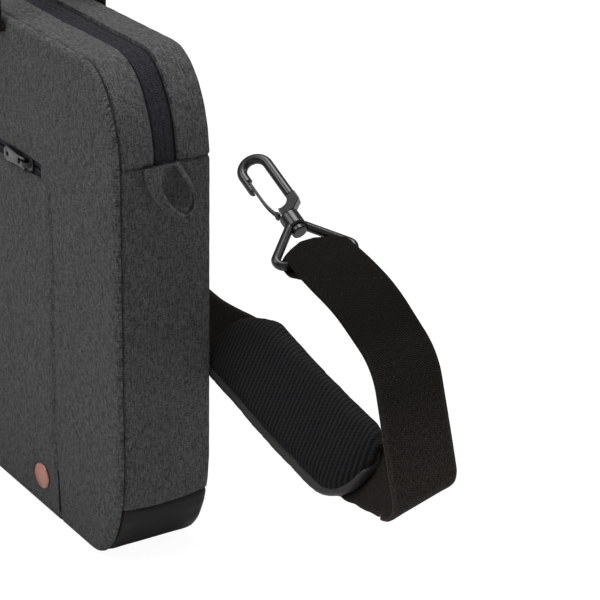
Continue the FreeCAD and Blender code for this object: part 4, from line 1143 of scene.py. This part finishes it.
def roundedCopy(node, voxel=None, angle=40, bevel=None):
    piece = copyOf(node)
    if voxel:
        modify(piece, "REMESH", mode="VOXEL", voxel_size=voxel)
        modify(piece, "SMOOTH", factor=0.5, iterations=5)
    if bevel:
        modify(piece, "BEVEL", width=bevel, segments=2, limit_method="ANGLE")
    at = points(piece)
    layWeave(piece, at[:, 1], at[:, 2])
    dress(piece, slotOf[node], bodyOf[node])
    smooth(piece, angle)
    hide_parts(node)
    return piece


roundedCopy("side_loop_left", bevel=0.0005)

# ---- handles ----
handleWebbing = {"half": 0.0125, "bend": 0.036}
for end in ("front", "back"):
    handle = copyOf("carry_handle_" + end, "handleWebbing" + end.title())
    modify(handle, "BEVEL", width=0.0007, segments=2, limit_method="ANGLE")
    at = points(handle)
    # the weave follows the legs up and then the top across
    low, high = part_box("carry_handle_" + end)
    upright = at[:, 2] < high.z - handleWebbing["bend"]
    layWeave(handle, np.where(upright, abs(at[:, 0]) - high.x, at[:, 2] - high.z) + handleWebbing["half"],
             np.where(upright, at[:, 2], abs(at[:, 0])))
    dress(handle, "black_webbing", "handle_" + end)
    smooth(handle)
    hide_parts("carry_handle_" + end)
    grip = padded("handle_grip_" + end, 0.0022, 0.0012)
    at = points(grip)
    layWeave(grip, at[:, 2], at[:, 0])

# ---- stitching ----
thread = {"long": 0.0024, "gap": 0.0011, "thick": 0.00052, "sunk": 0.00005}


def stitchAlong(name, lines, slot, body):
    # rows of short thread capsules: each line is points on the cloth with the way out of the cloth at each
    clearAll()
    bpy.ops.mesh.primitive_uv_sphere_add(segments=8, ring_count=6, radius=0.5, rotation=(0, math.pi / 2, 0))
    first = bpy.context.object
    settle(first)
    first.scale = (thread["long"], thread["thick"], thread["thick"])
    settle(first)
    # the ends dive into the cloth
    at = points(first)
    at[:, 2] -= thread["thick"] * 0.6 * (at[:, 0] / thread["long"] * 2) ** 2
    movePoints(first, at)
    bpy.ops.object.shade_smooth()
    copies = []
    for path, out in lines:
        path, out = evenly(np.asarray(path, float), thread["long"] + thread["gap"], np.asarray(out, float))
        for here, there, up in zip(path, path[1:], out):
            ahead = Vector(there - here).normalized()
            up = Vector(up)
            up = (up - ahead * up.dot(ahead)).normalized()
            side = up.cross(ahead)
            spot = Vector((here + there) / 2) - up * thread["sunk"]
            copy = addPiece(name, first.data.copy())
            copy.matrix_world = standing(ahead, side, up, spot)
            copies.append(copy)
    clearAll()
    for copy in copies:
        copy.select_set(True)
    bpy.context.view_layer.objects.active = copies[0]
    bpy.ops.object.join()
    row = bpy.context.object
    row.name = row.data.name = name
    settle(row)
    bpy.data.objects.remove(first)
    at = points(row)
    layWeave(row, at[:, 0] + at[:, 1], at[:, 2])
    return dress(row, slot, body)


def onFace(piece, places, outside, reach=0.02):
    # drops places on to a piece from outside, and gives the points met with the way out there
    hits, ways = [], []
    for place in places:
        start = Vector(place) + Vector(outside) * reach
        hit, spot, normal, _ = piece.ray_cast(start, -Vector(outside), distance=reach * 3)
        if hit:
            hits.append(spot[:])
            ways.append((normal if normal.dot(Vector(outside)) > 0 else -normal)[:])
    return hits, ways


# ---- rigid parts and small trim ----
rigid = ("hook_", "zip_slider", "zip_pull", "pocket_slider", "pocket_pull", "strap_adjuster", "badge")
bevelled = ("zip_pull", "pocket_pull", "strap_adj")
for node in [node for node in frame["nodes"] if node.startswith(rigid)]:
    isHook = node.startswith("hook_")
    roundedCopy(node, voxel=0.00032 if isHook else None, angle=80 if isHook else 40,
                bevel=0.0003 if node.startswith(bevelled) else None)
pocketTape = roundedCopy("pocket_zip_tape")
at = points(pocketTape)
layWeave(pocketTape, at[:, 2] - (slotLow.z + slotHigh.z) / 2, at[:, 0])
seamTab = roundedCopy("seam_tab", bevel=0.0003)
at = points(seamTab)
at[:, 1] -= 0.0009 * unit(at[:, 2] / 0.03)
layWeave(seamTab, at[:, 0], at[:, 2])
movePoints(seamTab, at)
board = frame["nodes"]["base_board"]
board.data.materials.clear()
board.data.materials.append(finishes["board"])
print("hardware finished")

# box stitch through the webbing by the hook, and a row along the pocket below its zip
fall = strap["fall"]
webbingRight = bpy.data.objects["strapRight"]
boxStitch = {"from": 0.017, "to": 0.033, "half": 0.0155}


def onStrap(past, aside):
    return rightBar + [past * math.cos(fall), aside, -past * math.sin(fall)]


near, far, half = boxStitch.values()
box = [(near, -half), (far, -half), (far, half), (near, half), (near, -half), (far, half)]
box = evenly(np.array([onStrap(*corner) for corner in box]), 0.001)[0]
stitchAlong("boxStitchRight", [onFace(webbingRight, box, (math.sin(fall), 0, math.cos(fall)))],
            "black_webbing", "bag")
rowX = np.arange(slotLow.x - 0.001, slotHigh.x + 0.001, 0.002)
row = [(x, frontY, slotLow.z - pocket["row"]) for x in rowX]
stitchAlong("pocketStitching", [onFace(pocketFlap, row, (0, -1, 0))], "pad_edge", "bag")
print("stitches sewn")

# ---- floor, light and camera ----
clearAll()
bpy.ops.mesh.primitive_plane_add(size=8, location=(0, 0, -0.0002))
floor = bpy.context.object
floor.name = "floor"
paper, tree, shader = newFinish("paper", Roughness=0.9)
shader.inputs["Base Color"].default_value = (0.86, 0.86, 0.86, 1)
seen = wireUp(tree, "LightPath", {}, {})
glow = wireUp(tree, "Emission", {}, {"Color": (1, 1, 1, 1), "Strength": 1.06})
both = wireUp(tree, "MixShader", {}, {0: seen * 0.9, 1: Wire(tree, shader.outputs[0]), 2: glow})
tree.links.new(both.socket, tree.nodes["Material Output"].inputs["Surface"])
floor.data.materials.append(paper)

studio = bpy.data.worlds.new("studio")
bpy.context.scene.world = studio
studio.use_nodes = True
tree = studio.node_tree
seen = wireUp(tree, "LightPath", {}, {})
power = wireUp(tree, "Math", {"operation": "MAXIMUM"}, {0: seen, 1: 0.25})
tree.links.new(power.socket, tree.nodes["Background"].inputs["Strength"])
tree.nodes["Background"].inputs["Color"].default_value = (1, 1, 1, 1)

lamps = {
    "key": ((-0.3, -2.0, 2.3), 1.5, 46.0),
    "fill": ((2.6, -0.9, 0.9), 1.3, 5.5),
    "rim": ((0.9, 2.2, 2.0), 0.32, 12.0),
    "top": ((0.0, 0.3, 2.6), 1.4, 72.0),
}
target = Vector((0.15, 0, 0.16))
for name, (place, size, watts) in lamps.items():
    lamp = bpy.data.lights.new(name, "AREA")
    lamp.size, lamp.energy = size, watts
    holder = addPiece(name, lamp)
    holder.location = place
    holder.rotation_euler = (target - Vector(place)).to_track_quat("-Z", "Y").to_euler()

view = {"place": (1.2116, -0.5905, 0.6747), "right": (0.5524, 0.8334, 0.0171),
        "up": (-0.3409, 0.2072, 0.9170), "lens": 138.3}
lens = bpy.data.cameras.new("camera")
lens.lens, lens.sensor_width = view["lens"], 36
camera = addPiece("camera", lens)
right, up = Vector(view["right"]).normalized(), Vector(view["up"]).normalized()
camera.matrix_world = standing(right, up, right.cross(up), view["place"])
bpy.context.scene.camera = camera
bpy.context.scene.view_settings.view_transform = "Standard"
print("stage lit")
